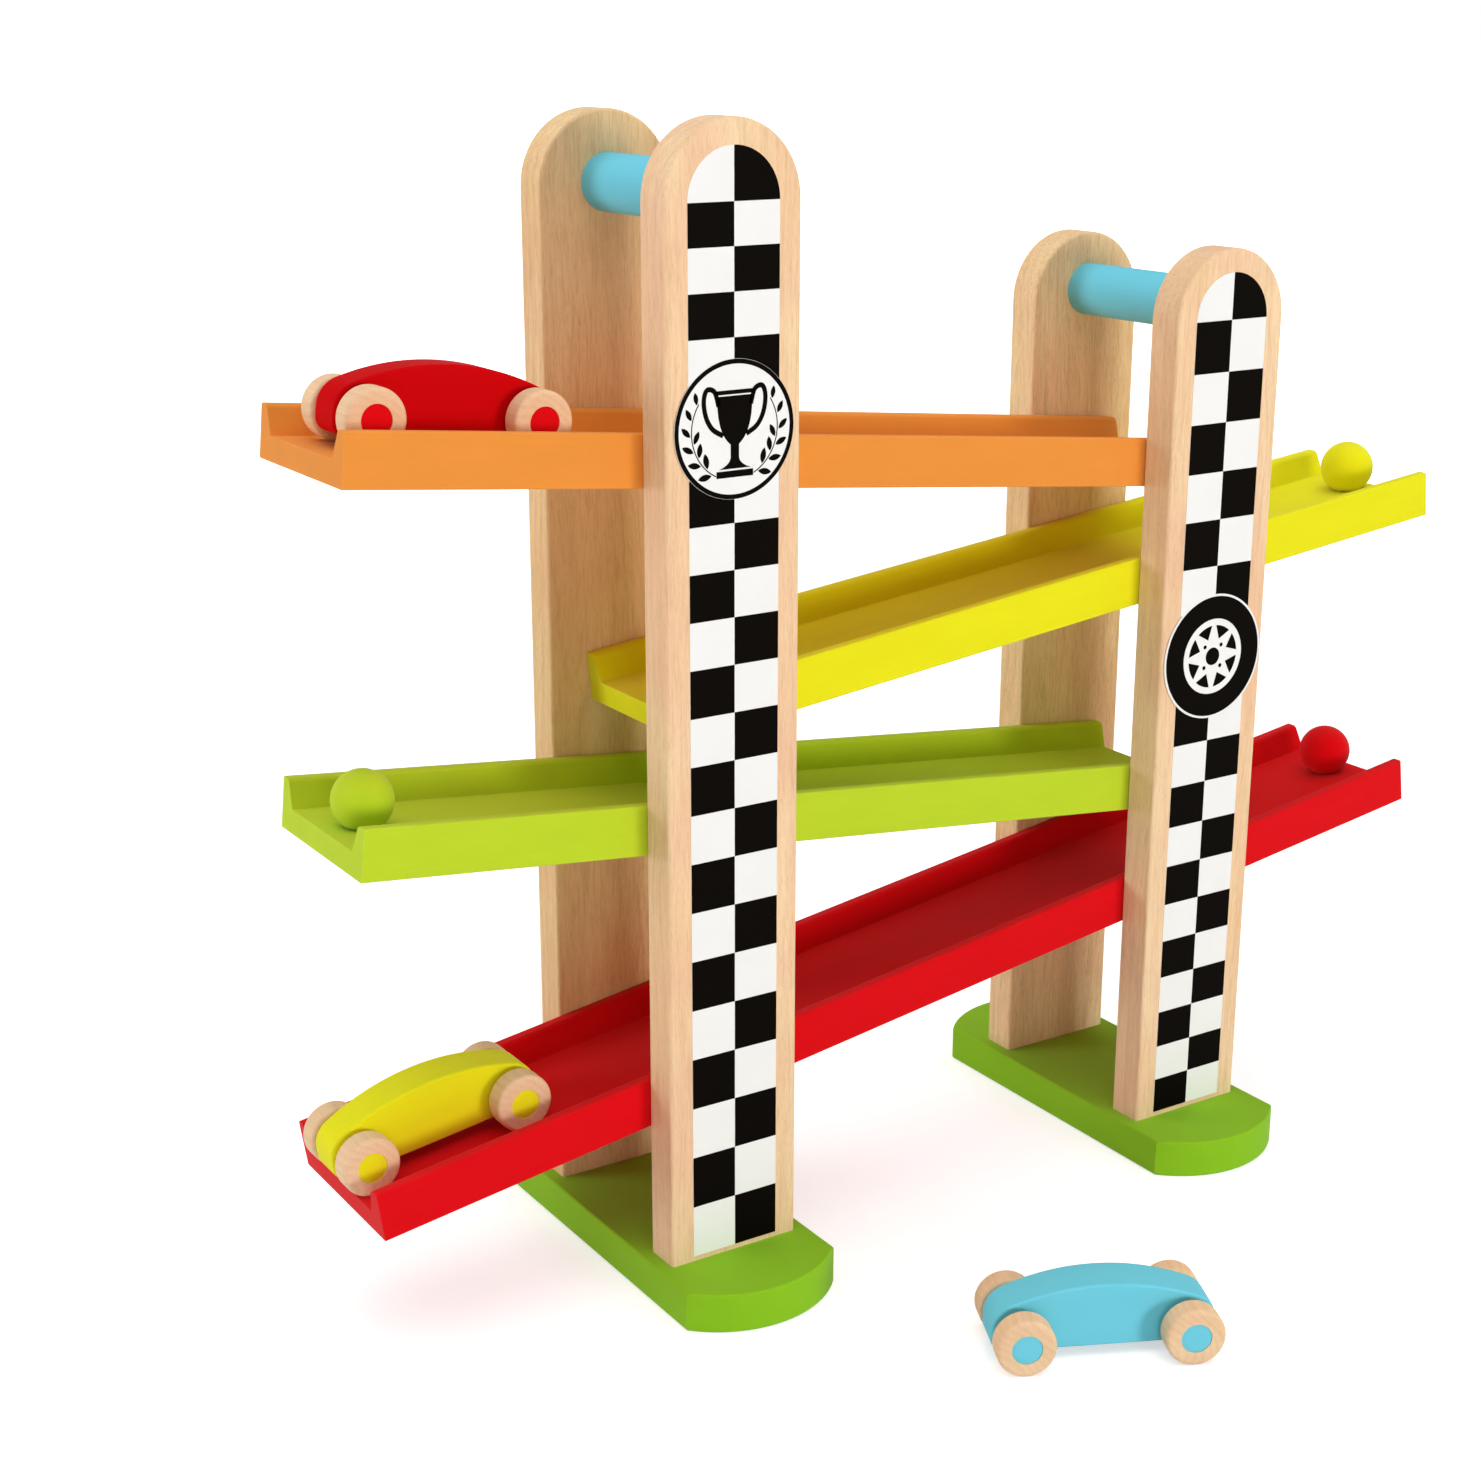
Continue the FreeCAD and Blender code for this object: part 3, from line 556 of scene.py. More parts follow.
def levelEdges(bm):
    # the edges round the two flat faces of a shape thickened along Z
    return [edge for edge in bm.edges if abs(edge.verts[0].co.z - edge.verts[1].co.z) < tiny]


# faces a flat shape's own +Z to the front, its +Y up and its +X along the tracks
frontward = Matrix(((1, 0, 0, 0), (0, 0, -1, 0), (0, 1, 0, 0), (0, 0, 0, 1)))


def flatNode(node):
    # width, height and thickness of a flat piece, and the place of its back's lowest middle point
    low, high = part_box(node)
    place = Matrix.Translation(((low.x + high.x) / 2, high.y, low.z)) @ frontward
    return high.x - low.x, high.z - low.z, high.y - low.y, place


# here and below, a rounding is a radius and its steps
upright = {"rounding": (1.0 * mm, 4), "boards": {
    "left_front": {"wood": "boardWood", "heart": (112, -24)},
    # the back left board's wood is darkened: painted shade
    "left_back": {"wood": "rearBoardWood", "heart": (-96, 31)},
    "right_front": {"wood": "boardWood", "heart": (-128, 18)},
    # the back right board's wood is yellowed: painted bounce light
    "right_back": {"wood": "oliveBoardWood", "heart": (88, 40)},
}}


def makeUpright(board):
    node = board + "_upright"
    look = upright["boards"][board]
    width, tall, thick, place = flatNode(node)
    bm = extrudeOutline(roundTopped(width, 0, tall), thick)
    # the foot stays sharp
    edges = [edge for edge in levelEdges(bm) if edge.verts[0].co.y + edge.verts[1].co.y > tiny]
    roundEdges(bm, edges, *upright["rounding"])
    makePiece(node + "_board", bm, node, woodOf[look["wood"]], place, grain="y",
              heart=look["heart"])


for board in upright["boards"]:
    makeUpright(board)
print("uprights made")


# the bores are radii
base = {"bow": 11 * mm, "bowSteps": 28, "rounding": (0.8 * mm, 3), "screwSpread": 22 * mm,
        "screwBore": 2.05 * mm, "headBore": 4.1 * mm, "headSunk": 0.5 * mm,
        "headDepth": 2.6 * mm, "boreSegments": 48}


def cutOut(bm, tools):
    # the shape without what the tools, each a closed shape, take out of it
    whole = addObject("whole", meshFrom(bm))
    cutter = addObject("cutter", meshFrom(joined(tools)))
    bores = whole.modifiers.new("bores", "BOOLEAN")
    bores.operation = "DIFFERENCE"
    bores.solver = "EXACT"
    bores.object = cutter
    bakeModifiers(whole)
    bpy.data.objects.remove(cutter)
    return takeShape(whole)


def screwBores(pillar, place):
    # countersunk bores from the underside, two below each upright
    bores = []
    bore, head, sunk = base["screwBore"], base["headBore"], base["headSunk"]
    for face in ("front", "back"):
        low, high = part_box("%s_%s_upright" % (pillar, face))
        top = low.z + sunk
        for side in (-0.5, 0.5):
            tool = lathe([(0, -sunk), (head, -sunk), (head, sunk), (bore, sunk + base["headDepth"]),
                          (bore, top), (0, top)], base["boreSegments"])
            at = Vector(((low.x + high.x) / 2, (low.y + high.y) / 2, 0))
            at.x += side * base["screwSpread"]
            tool.transform(place.inverted() @ Matrix.Translation(at))
            bores.append(tool)
    return bores


def makeBase(pillar):
    node = pillar + "_base"
    low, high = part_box(node)
    half, bow = (high.x - low.x) / 2, base["bow"]
    radius = (half * half + bow ** 2) / (2 * bow)
    sweep = math.degrees(math.asin(half / radius))
    centre = (high.y - low.y) / 2 - radius
    outline = arcPoints((0, centre), radius, 90 - sweep, 90 + sweep, base["bowSteps"])
    outline += arcPoints((0, -centre), radius, 270 - sweep, 270 + sweep, base["bowSteps"])
    bm = extrudeOutline(outline, high.z - low.z)
    roundEdges(bm, levelEdges(bm), *base["rounding"])
    place = Matrix.Translation(((low.x + high.x) / 2, (low.y + high.y) / 2, low.z))
    bm = cutOut(bm, screwBores(pillar, place))
    makePiece(node + "_board", bm, node, paintOf[slotOf[node]], place, grain="y")


for pillar in ("left", "right"):
    makeBase(pillar)
print("bases made")


crossbar = {"tenonRadius": 5 * mm, "tenonLength": 8 * mm, "ease": 0.4 * mm, "segments": 96,
            "heart": (6, 4)}


def makeCrossbar(pillar):
    node = pillar + "_crossbar"
    low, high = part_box(node)
    radius = (high.z - low.z) / 2
    end = (high.y - low.y) / 2
    rod = end - crossbar["tenonLength"]
    ease, tenon = crossbar["ease"], crossbar["tenonRadius"]
    half = [(radius, rod), (tenon, rod), (tenon, end - ease), (tenon - ease, end), (0, end)]
    bm = lathe([(out, -height) for out, height in half[::-1]] + half, crossbar["segments"])
    place = Matrix.Translation((low + high) / 2) @ Matrix.Rotation(math.radians(90), 4, "X")
    makePiece(node + "_rod", bm, node, paintOf[slotOf[node]], place, grain="z",
              heart=crossbar["heart"])


for pillar in ("left", "right"):
    makeCrossbar(pillar)
print("crossbars made")


channel = {"height": 14.6 * mm, "floor": 6.8 * mm, "wallTop": 3.8 * mm, "wallFoot": 6.8 * mm,
           "lipRounding": (1.2 * mm, 5), "edgeRounding": (0.5 * mm, 3),
           "endRounding": (0.3 * mm, 2), "tiltSteps": 20,
           "highEnds": {"orange": -1, "yellow": 1, "green": -1, "red": 1}}


def trackPlace(track):
    # length, and the place of the middle of the track's section, from the tilted node's box
    low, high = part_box(track + "_track")
    wide, tall = high.x - low.x, high.z - low.z
    height = channel["height"]
    tilt = 0.0
    for step in range(channel["tiltSteps"]):
        tilt = math.asin((tall * math.cos(tilt) - height * math.cos(2 * tilt)) / wide)
    length = (wide - height * math.sin(tilt)) / math.cos(tilt)
    turn = Matrix.Rotation(-tilt * channel["highEnds"][track], 4, "Y")
    return length, Matrix.Translation((low + high) / 2) @ turn


def makeTrack(track):
    node = track + "_track"
    low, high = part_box(node)
    length, place = trackPlace(track)
    half = (high.y - low.y) / 2
    tall, floor = channel["height"], channel["floor"]
    lip, foot = half - channel["wallTop"], half - channel["wallFoot"]
    # the section is drawn in XY, thickened along Z, and then laid along the track
    section = [(-half, 0), (half, 0), (half, tall), (lip, tall), (foot, floor),
               (-foot, floor), (-lip, tall), (-half, tall)]
    bm = extrudeOutline(section, length)

    def edgesFrom(*corners):
        # the long edges at these corners of the section, on both sides
        found = []
        for edge in bm.edges:
            a, b = (vertex.co for vertex in edge.verts)
            if abs(a.z - b.z) > length / 2:
                found += [edge for corner in corners
                          if math.dist((abs(a.x), a.y), corner) < tiny]
        return found

    roundEdges(bm, edgesFrom((lip, tall)), *channel["lipRounding"])
    roundEdges(bm, edgesFrom((half, tall), (half, 0)), *channel["edgeRounding"])
    roundEdges(bm, levelEdges(bm), *channel["endRounding"])
    bm.transform(Matrix(((0, 0, 1, -length / 2), (1, 0, 0, 0), (0, 1, 0, -tall / 2), (0, 0, 0, 1))))
    makePiece(node + "_channel", bm, node, paintOf[slotOf[node]], place)


for track in channel["highEnds"]:
    makeTrack(track)
print("tracks made")


ball = {"diameter": 17.2 * mm, "foot": 1.2 * mm, "bore": 4.1 * mm, "boreDepth": 6.3 * mm,
        "segments": 64, "rings": 32, "heart": (5, 3)}


def makeBall(track):
    node = track + "_stop_ball"
    low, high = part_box(node)
    radius, bore = ball["diameter"] / 2, ball["bore"] / 2
    foot = radius - ball["foot"]
    top = ball["boreDepth"] - foot
    outside = arcPoints((0, 0), radius, 90, math.degrees(math.asin(-foot / radius)), ball["rings"])
    profile = [(0, radius)] + outside[1:] + [(bore, -foot), (bore, top), (0, top)]
    bm = lathe(profile, ball["segments"])
    turn = trackPlace(track)[1].to_3x3().to_4x4()
    centre = Vector(((low.x + high.x) / 2, (low.y + high.y) / 2, high.z - radius))
    makePiece(node + "_turned", bm, node, paintOf[slotOf[node]],
              Matrix.Translation(centre) @ turn, grain="z", heart=ball["heart"])


for track in ("yellow", "green", "red"):
    makeBall(track)
print("stop balls made")


# Cars. The sizes of their pieces are in millimetres.

carBody = {"tail": -31.8, "nose": 31.8, "belly": 3.3, "top": 22.1, "crown": -0.5,
           "tailHeight": 14.7, "noseHeight": 14.2, "tailRound": 8.2, "noseRound": 7.2, "chin": 3.5,
           "middleWidth": 12.8, "endWidth": 11.6, "bowBeyond": 1, "edgeRounding": (0.8, 4),
           "middleSteps": 34, "endSteps": 10, "endSweep": 80, "heart": (14, 9),
           # the red car takes the darkened red, its painted shade
           "paint": {"red": "deepRed", "yellow": "yellow", "blue": "light_blue"}}


def circleThrough(a, b, c):
    # centre and radius of the circle through three points
    d = 2 * (a[0] * (b[1] - c[1]) + b[0] * (c[1] - a[1]) + c[0] * (a[1] - b[1]))
    squares = [p[0] ** 2 + p[1] ** 2 for p in (a, b, c)]
    x = (squares[0] * (b[1] - c[1]) + squares[1] * (c[1] - a[1]) + squares[2] * (a[1] - b[1])) / d
    y = (squares[0] * (c[0] - b[0]) + squares[1] * (a[0] - c[0]) + squares[2] * (b[0] - a[0])) / d
    return (x, y), math.dist((x, y), a)


def carStations():
    # stations along the car, each with its belly, its top and half its width
    shape = carBody
    tail, nose, chin = shape["tail"], shape["nose"], shape["chin"]
    crown, crownRadius = circleThrough((nose, shape["noseHeight"]), (shape["crown"], shape["top"]),
                                       (tail, shape["tailHeight"]))
    widest, narrowest = shape["middleWidth"] / 2, shape["endWidth"] / 2
    side, sideRadius = circleThrough((tail - shape["bowBeyond"], narrowest),
                                     ((nose + tail) / 2, widest),
                                     (nose + shape["bowBeyond"], narrowest))
    ends = []
    for end, inward, radius in ((tail, 1, shape["tailRound"]), (nose, -1, shape["noseRound"])):
        x = end + inward * radius
        z = crown[1] + math.sqrt((crownRadius - radius) ** 2 - (x - crown[0]) ** 2)
        meet = crown[0] + (x - crown[0]) * crownRadius / (crownRadius - radius)
        ends.append((inward, radius, x, z, meet))

    def topAt(x):
        for inward, radius, middle, height, meet in ends:
            if (meet - x) * inward > 0:
                return height + math.sqrt(max(radius ** 2 - (x - middle) ** 2, 0))
        return crown[1] + math.sqrt(crownRadius ** 2 - (x - crown[0]) ** 2)

    def bellyAt(x):
        inside = max(tail + chin - x, x - (nose - chin), 0)
        return shape["belly"] + chin - math.sqrt(max(chin ** 2 - inside ** 2, 0))

    steps, count = shape["endSteps"], shape["middleSteps"]
    eased = [1 - math.cos(math.radians(shape["endSweep"] * step / steps)) for step in range(steps)]
    start, stop = tail + shape["tailRound"], nose - shape["noseRound"]
    places = [tail + share * shape["tailRound"] for share in eased]
    places += [start + (stop - start) * step / count for step in range(count + 1)]
    places += [nose - share * shape["noseRound"] for share in reversed(eased)]
    return [(x, bellyAt(x), topAt(x), side[1] + math.sqrt(sideRadius ** 2 - (x - side[0]) ** 2))
            for x in places]


def makeCarBody(car, place):
    node = car + "_car_body"
    bm = bmesh.new()
    loops = []
    for x, belly, top, half in carStations():
        corners = ((-half, belly), (half, belly), (half, top), (-half, top))
        loops.append([bm.verts.new((x * mm, y * mm, z * mm)) for y, z in corners])
    joinLoops(bm, loops)
    bm.faces.new(loops[0])
    bm.faces.new(loops[-1])
    faceOutward(bm)
    rims = []
    for edge in bm.edges:
        a, b = (vertex.co for vertex in edge.verts)
        fromEnd = min(abs(a.x - carBody[end] * mm) for end in ("tail", "nose"))
        if a.y * b.y > 0 and (abs(a.x - b.x) > tiny or fromEnd < tiny):
            rims.append(edge)
    rounding, steps = carBody["edgeRounding"]
    roundEdges(bm, rims, rounding * mm, steps)
    makePiece(node + "_block", bm, node, paintOf[carBody["paint"][car]], place,
              heart=carBody["heart"])


def newShapeTree(name, inputs):
    # takes a shape, and gives out another in a material of its own
    return newGroup(name, "GeometryNodeTree", {"Geometry": "Geometry", **inputs,
                                               "Material": "Material"}, {"Geometry": "Geometry"})


def finishShape(tree, source, sink, shape):
    solid = addNode(tree, "GeometryNodeRealizeInstances", {"Geometry": shape}).outputs[0]
    done = addNode(tree, "GeometryNodeSetMaterial",
                   {"Geometry": solid, "Material": source["Material"]})
    fill(tree, sink, {"Geometry": done.outputs[0]})
    return tree


def runTree(piece, tree, **inputs):
    # sets the tree's named inputs, and keeps the result as a plain mesh
    modifier = piece.modifiers.new(tree.name, "NODES")
    modifier.node_group = tree
    sockets = namedInputs(tree)
    for key, value in inputs.items():
        modifier[sockets[key].identifier] = value
    bakeModifiers(piece)


def makeTurnedRing():
    # a profile, drawn as a mesh in XZ beside the axis, is swept round Z
    tree, source, sink = newShapeTree("turnedRing", {
        "Segments": "Int", "Rounding": "Float", "Rounding Steps": "Int",
        "Rounded Beyond": "Float"})
    profile = addNode(tree, "GeometryNodeMeshToCurve", {"Mesh": source["Geometry"]}).outputs[0]
    position = tree.nodes.new("GeometryNodeInputPosition").outputs[0]
    distance = addNode(tree, "ShaderNodeSeparateXYZ", {0: position}).outputs[0]
    outside = addNode(tree, "FunctionNodeCompare", {"A": distance, "B": source["Rounded Beyond"]},
                      data_type="FLOAT", operation="GREATER_THAN").outputs[0]
    radius = calc(tree, "MULTIPLY", outside, source["Rounding"])
    eased = addNode(tree, "GeometryNodeFilletCurve", {
        "Curve": profile, "Count": source["Rounding Steps"], "Radius": radius}, mode="POLY")
    flat = addNode(tree, "GeometryNodeTransform", {
        "Geometry": eased.outputs[0], "Rotation": (math.radians(90), 0, 0)}).outputs[0]
    # a circle too small to see carries the profile, whose own distance from the axis is kept
    path = addNode(tree, "GeometryNodeCurvePrimitiveCircle",
                   {"Resolution": source["Segments"], "Radius": 0.01 * mm}, mode="RADIUS")
    swept = addNode(tree, "GeometryNodeCurveToMesh",
                    {"Curve": path.outputs[0], "Profile Curve": flat})
    return finishShape(tree, source, sink, swept.outputs[0])


# every wheel has its own place in the tree, so that no two look alike
wheel = {"diameter": 17.0, "thickness": 7.1, "rounding": (1.3, 6), "bore": 4.05,
         "recess": 8.65, "recessDepth": 2.0, "segments": 96, "heart": 9, "heartStep": 3,
         "hearts": {"front_near": 8, "front_far": 10, "rear_near": 13, "rear_far": 15}}


def makeWheel(node, axle, heart):
    radius, half = wheel["diameter"] / 2, wheel["thickness"] / 2
    bore, recess, deep = wheel["bore"] / 2, wheel["recess"] / 2, half - wheel["recessDepth"]
    corners = [(bore, -half), (radius, -half), (radius, half), (recess, half), (recess, deep),
               (bore, deep)]
    count = len(corners)
    mesh = bpy.data.meshes.new("profile")
    mesh.from_pydata([(x * mm, 0, z * mm) for x, z in corners],
                     [(step, (step + 1) % count) for step in range(count)], [])
    profile = addObject("profile", mesh)
    rounding, steps = wheel["rounding"]
    runTree(profile, turnedRing, segments=wheel["segments"], rounding=rounding * mm,
            roundingSteps=steps, roundedBeyond=(recess + radius) / 2 * mm,
            material=woodOf["wheelWood"])
    bm = takeShape(profile)
    bmesh.ops.remove_doubles(bm, verts=bm.verts[:], dist=tiny)
    faceOutward(bm)
    makePiece(node + "_turned", bm, node, woodOf["wheelWood"], facingOut(node, axle), grain="z",
              heart=heart)


hubCap = {"diameter": 8.6, "thickness": 2.0, "crown": 0.12, "ease": 0.25, "shoulder": 0.15,
          "segments": 64, "steps": 6, "heart": (9, 7)}


def makeHubCap(node, axle):
    # a plug with its face a little crowned by its paint
    radius, half = hubCap["diameter"] / 2, hubCap["thickness"] / 2
    profile = [(0, -half), (radius, -half), (radius, half - hubCap["ease"])]
    for step in range(hubCap["steps"] - 1, -1, -1):
        out = (radius - hubCap["shoulder"]) * step / hubCap["steps"]
        profile.append((out, half - hubCap["crown"] * (out / radius) ** 2))
    bm = lathe([(x * mm, z * mm) for x, z in profile], hubCap["segments"])
    makePiece(node + "_painted", bm, node, paintOf[slotOf[node]], facingOut(node, axle), grain="z",
              heart=hubCap["heart"])


def carFrame(car):
    # ahead is +X, the axles lie along Y and the ground is at Z 0
    front, rear = (joints["%s_car_%s_axle_turn" % (car, end)] for end in ("front", "rear"))
    ahead = (Vector(front["pos_m"]) - Vector(rear["pos_m"])).normalized()
    across = Vector(front["axis"]).normalized()
    above = ahead.cross(across)
    middle = (Vector(front["pos_m"]) + Vector(rear["pos_m"])) / 2
    turn = Matrix((ahead, across, above)).transposed().to_4x4()
    return Matrix.Translation(middle - above * wheel["diameter"] / 2 * mm) @ turn


def facingOut(node, axle):
    # a place at the node's middle whose +Z points along the axle, away from the car
    low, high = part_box(node)
    centre = (low + high) / 2
    outward = Vector(axle["axis"]).normalized()
    if (centre - Vector(axle["pos_m"])).dot(outward) < 0:
        outward = -outward
    turn = outward.to_track_quat("Z", "Y").to_matrix().to_4x4()
    return Matrix.Translation(centre) @ turn


turnedRing = makeTurnedRing()
for number, car in enumerate(carBody["paint"]):
    makeCarBody(car, carFrame(car))
    for spot, heart in wheel["hearts"].items():
        name = "%s_car_%s" % (car, spot)
        axle = joints["%s_car_%s_axle_turn" % (car, spot.split("_")[0])]
        makeWheel(name + "_wheel", axle, (wheel["heart"] + wheel["heartStep"] * number, heart))
        makeHubCap(name + "_hub_cap", axle)
print("cars made")


# Printed stickers. Ink lies on the film as thin closed shapes, drawn flat in XY.

ink = {"thickness": 0.04 * mm, "hair": 0.01 * mm}  # a hair parts cells that meet at their corners
# how many straight steps draw each round or bent line
outlineSteps = {"arch": 48, "archCell": 24, "badge": 120, "ring": 96, "hub": 48, "bolt": 20,
                "opening": 10, "stem": 20, "bend": 10, "curve": 8, "leaf": 8}


def makeStampRows():
    # the stamp is repeated down a strip, changing sides and height at each row
    tree, source, sink = newShapeTree("stampRows", {
        "Rows": "Int", "Row Height": "Float", "Row Change": "Float", "Side Shift": "Float"})
    index = tree.nodes.new("GeometryNodeInputIndex").outputs[0]
    odd = calc(tree, "MODULO", index, 2.0)
    side = calc(tree, "MULTIPLY", calc(tree, "MULTIPLY_ADD", odd, 2.0, -1.0), source["Side Shift"])
    gained = calc(tree, "MULTIPLY", index, source["Row Change"])
    # a row's upper edge lies below all the rows before it
    average = calc(tree, "SUBTRACT", calc(tree, "MULTIPLY_ADD", gained, 0.5, source["Row Height"]),
                   calc(tree, "MULTIPLY", source["Row Change"], 0.5))
    down = calc(tree, "MULTIPLY", calc(tree, "MULTIPLY", index, average), -1.0)
    taller = calc(tree, "ADD", calc(tree, "DIVIDE", gained, source["Row Height"]), 1.0)
    return finishStamps(tree, source, sink, source["Rows"], (side, down),
                        {"Scale": joinXYZ(tree, 1.0, taller, 1.0)})


def makeStampArc():
    # the stamp is repeated along an arc, turned with it, leaning and shrinking on the way
    tree, source, sink = newShapeTree("stampArc", {
        "Count": "Int", "Radius": "Float", "First Angle": "Float", "Step Angle": "Float",
        "Lean": "Float", "Shrink": "Float"})
    index = tree.nodes.new("GeometryNodeInputIndex").outputs[0]
    angle = calc(tree, "MULTIPLY_ADD", index, source["Step Angle"], source["First Angle"])
    x, y = (calc(tree, "MULTIPLY", calc(tree, wave, angle), source["Radius"])
            for wave in ("COSINE", "SINE"))
    turn = joinXYZ(tree, 0.0, 0.0, calc(tree, "ADD", angle, source["Lean"]))
    turned = addNode(tree, "FunctionNodeEulerToRotation", {0: turn}).outputs[0]
    size = calc(tree, "SUBTRACT", 1.0, calc(tree, "MULTIPLY", index, source["Shrink"]))
    return finishStamps(tree, source, sink, source["Count"], (x, y),
                        {"Rotation": turned, "Scale": size})


def finishStamps(tree, source, sink, count, place, inputs):
    line = addNode(tree, "GeometryNodeMeshLine", {"Count": count}, mode="OFFSET").outputs[0]
    placed = addNode(tree, "GeometryNodeSetPosition",
                     {"Geometry": line, "Position": joinXYZ(tree, *place)}).outputs[0]
    stamps = addNode(tree, "GeometryNodeInstanceOnPoints",
                     {"Points": placed, "Instance": source["Geometry"], **inputs})
    return finishShape(tree, source, sink, stamps.outputs[0])


def inked(outline):
    return extrudeOutline(outline, ink["thickness"])


def stamped(bm, tree, **inputs):
    # the shape as a tree repeats it
    piece = addObject("stamp", meshFrom(bm))
    runTree(piece, tree, material=stickerInk, **inputs)
    return takeShape(piece)


def laySticker(node, outline, thick, place):
    # makes the white film, and returns the place of the print on its face
    makePiece(node + "_film", extrudeOutline(outline, thick), node, stickerWhite, place, grain="y")
    return place @ Matrix.Translation((0, 0, thick))


def printOn(node, name, shapes, face):
    makePiece(name, joined(shapes), node, stickerInk, face, grain="y", heart=(0, 0), printed=True)


def inkedRing(outer, inner):
    bm = bmesh.new()
    corners = ((outer, 0), (outer, ink["thickness"]), (inner, ink["thickness"]), (inner, 0))
    loops = [[bm.verts.new((x, y, height)) for x, y in wholeCircle(radius, outlineSteps["ring"])]
             for radius, height in corners]
    joinLoops(bm, loops + loops[:1])
    faceOutward(bm)
    return bm


strips = {"left": {"rows": 22, "rowChange": 0.2116 * mm},
          "right": {"rows": 19, "rowChange": -0.2195 * mm}}


def makeStrip(pillar):
    # a column of black cells that change sides, and a quarter-round one on top
    node = pillar + "_checker_sticker"
    width, tall, thick, place = flatNode(node)
    face = laySticker(node, roundTopped(width, 0, tall, outlineSteps["arch"]), thick, place)
    rows, change = strips[pillar]["rows"], strips[pillar]["rowChange"]
    spring = tall - width / 2
    firstRow = spring / rows - change * (rows - 1) / 2
    quarter = width / 4
    half = quarter - ink["hair"]
    cell = inked([(-half, -firstRow), (half, -firstRow), (half, 0), (-half, 0)])
    cells = stamped(cell, stampRows, rows=rows, rowHeight=firstRow, rowChange=change,
                    sideShift=quarter)
    cells.transform(Matrix.Translation((0, spring, 0)))
    arch = inked([(0, 0)] + arcPoints((0, 0), width / 2, 0, 90, outlineSteps["archCell"]))
    arch.transform(Matrix.Translation((ink["hair"], spring, 0)))
    printOn(node, pillar + "_checker_print", [cells, arch], face)


stampRows = makeStampRows()
stampArc = makeStampArc()
for pillar in strips:
    makeStrip(pillar)
print("checker stickers made")


def layBadge(node):
    # makes a round film, and returns its radius and the place of the middle of its face
    width, tall, thick, place = flatNode(node)
    radius = width / 2
    middle = place @ Matrix.Translation((0, tall / 2, 0))
    return radius, laySticker(node, wholeCircle(radius, outlineSteps["badge"]), thick, middle)


# radii in millimetres, and the sweep of an opening in degrees
tyreBadge = {"tyreOuter": 19.1, "tyreInner": 12.0, "hub": 2.8, "openings": 8, "openingOuter": 9.9,
             "openingInner": 5.8, "openingSweep": 35, "bolts": 4, "boltPlace": 4.7, "bolt": 0.65}


def makeTyreBadge():
    # a plain spoked wheel seen from the side
    node = "wheel_badge_sticker"
    face = layBadge(node)[1]
    look = tyreBadge
    outer, sweep = look["openingOuter"] * mm, look["openingSweep"] / 2
    opening = arcPoints((-outer, 0), outer, -sweep, sweep, outlineSteps["opening"])
    opening.append((look["openingInner"] * mm - outer, 0))
    bolt = wholeCircle(look["bolt"] * mm, outlineSteps["bolt"])

    def evenlyRound(outline, count, radius):
        step = 2 * math.pi / count
        return stamped(inked(outline), stampArc, count=count, radius=radius, firstAngle=step / 2,
                       stepAngle=step)

    printOn(node, "wheel_badge_print", [
        inkedRing(look["tyreOuter"] * mm, look["tyreInner"] * mm),
        inked(wholeCircle(look["hub"] * mm, outlineSteps["hub"])),
        evenlyRound(opening, look["openings"], outer),
        evenlyRound(bolt, look["bolts"], look["boltPlace"] * mm)], face)


cupBadge = {
    "rim": 1.3, "rimInset": 0.05,
    # half of each shape, in millimetres from the badge's middle: corners, some after a bend
    "cup": {"lip": [((0, 10.4), None), ((6.1, 10.4), None), ((5.5, 9.3), (6.0, 9.7)),
                    ((0, 9.3), None)],
            "bowl": [((0, 8.9), None), ((5.4, 8.9), None), ((1.3, -3.9), (5.6, -0.6)),
                     ((1.3, -7.4), None), ((5.0, -10.3), (1.7, -9.4)), ((0, -10.3), None)],
            "plinth": [((0, -10.8), None), ((5.7, -10.8), None), ((5.7, -12.6), None),
                       ((0, -12.6), None)]},
    "ear": [(5.0, 6.4), (6.2, 10.2), (8.5, 10.9), (9.5, 8.2), (8.9, 4.0), (6.9, 0.6), (3.6, -1.4)],
    "earWidth": 1.35,
    "stem": 13.3, "stemWidth": 0.30, "stemBelow": 6, "stemBeyond": 2,
    # a leaf's length and width, and the power of the sine that bounds it
    "sprigStart": -58, "sprigStep": 18, "leaf": (4.2, 1.75, 0.8),
    # the leaves' first place in steps, how far beside the stem they start, how far they turn
    # from it in degrees, and by how much each is smaller than the one before
    "leaves": {"outer": {"count": 6, "first": 0, "aside": 0.4, "lean": 48, "shrink": 0.04},
               "inner": {"count": 3, "first": 0.5, "aside": -0.4, "lean": 128, "shrink": 0.06}},
}


def quadratic(start, bend, stop):
    steps = outlineSteps["bend"]
    points = []
    for step in range(1, steps + 1):
        t = step / steps
        a, b, c = (1 - t) ** 2, 2 * t * (1 - t), t * t
        points.append(tuple(a * start[axis] + b * bend[axis] + c * stop[axis] for axis in (0, 1)))
    return points


def wholeOutline(half):
    # the right half, from top to bottom of the middle line, joined to its mirror image
    points = []
    for point, bend in half:
        points += quadratic(points[-1], bend, point) if bend else [point]
    return points + [(-x, y) for x, y in points[::-1] if x > 0]


def inkedMillimetres(points):
    # a thin shape of ink whose outline is given in millimetres
    return inked([(x * mm, y * mm) for x, y in points])


def ribbon(path, width):
    # a strip of even width along a path, as a closed outline
    left, right = [], []
    for here, point in enumerate(path):
        before, after = path[max(here - 1, 0)], path[min(here + 1, len(path) - 1)]
        along = Vector((after[0] - before[0], after[1] - before[1])).normalized() * width / 2
        left.append((point[0] - along.y, point[1] + along.x))
        right.append((point[0] + along.y, point[1] - along.x))
    return left + right[::-1]


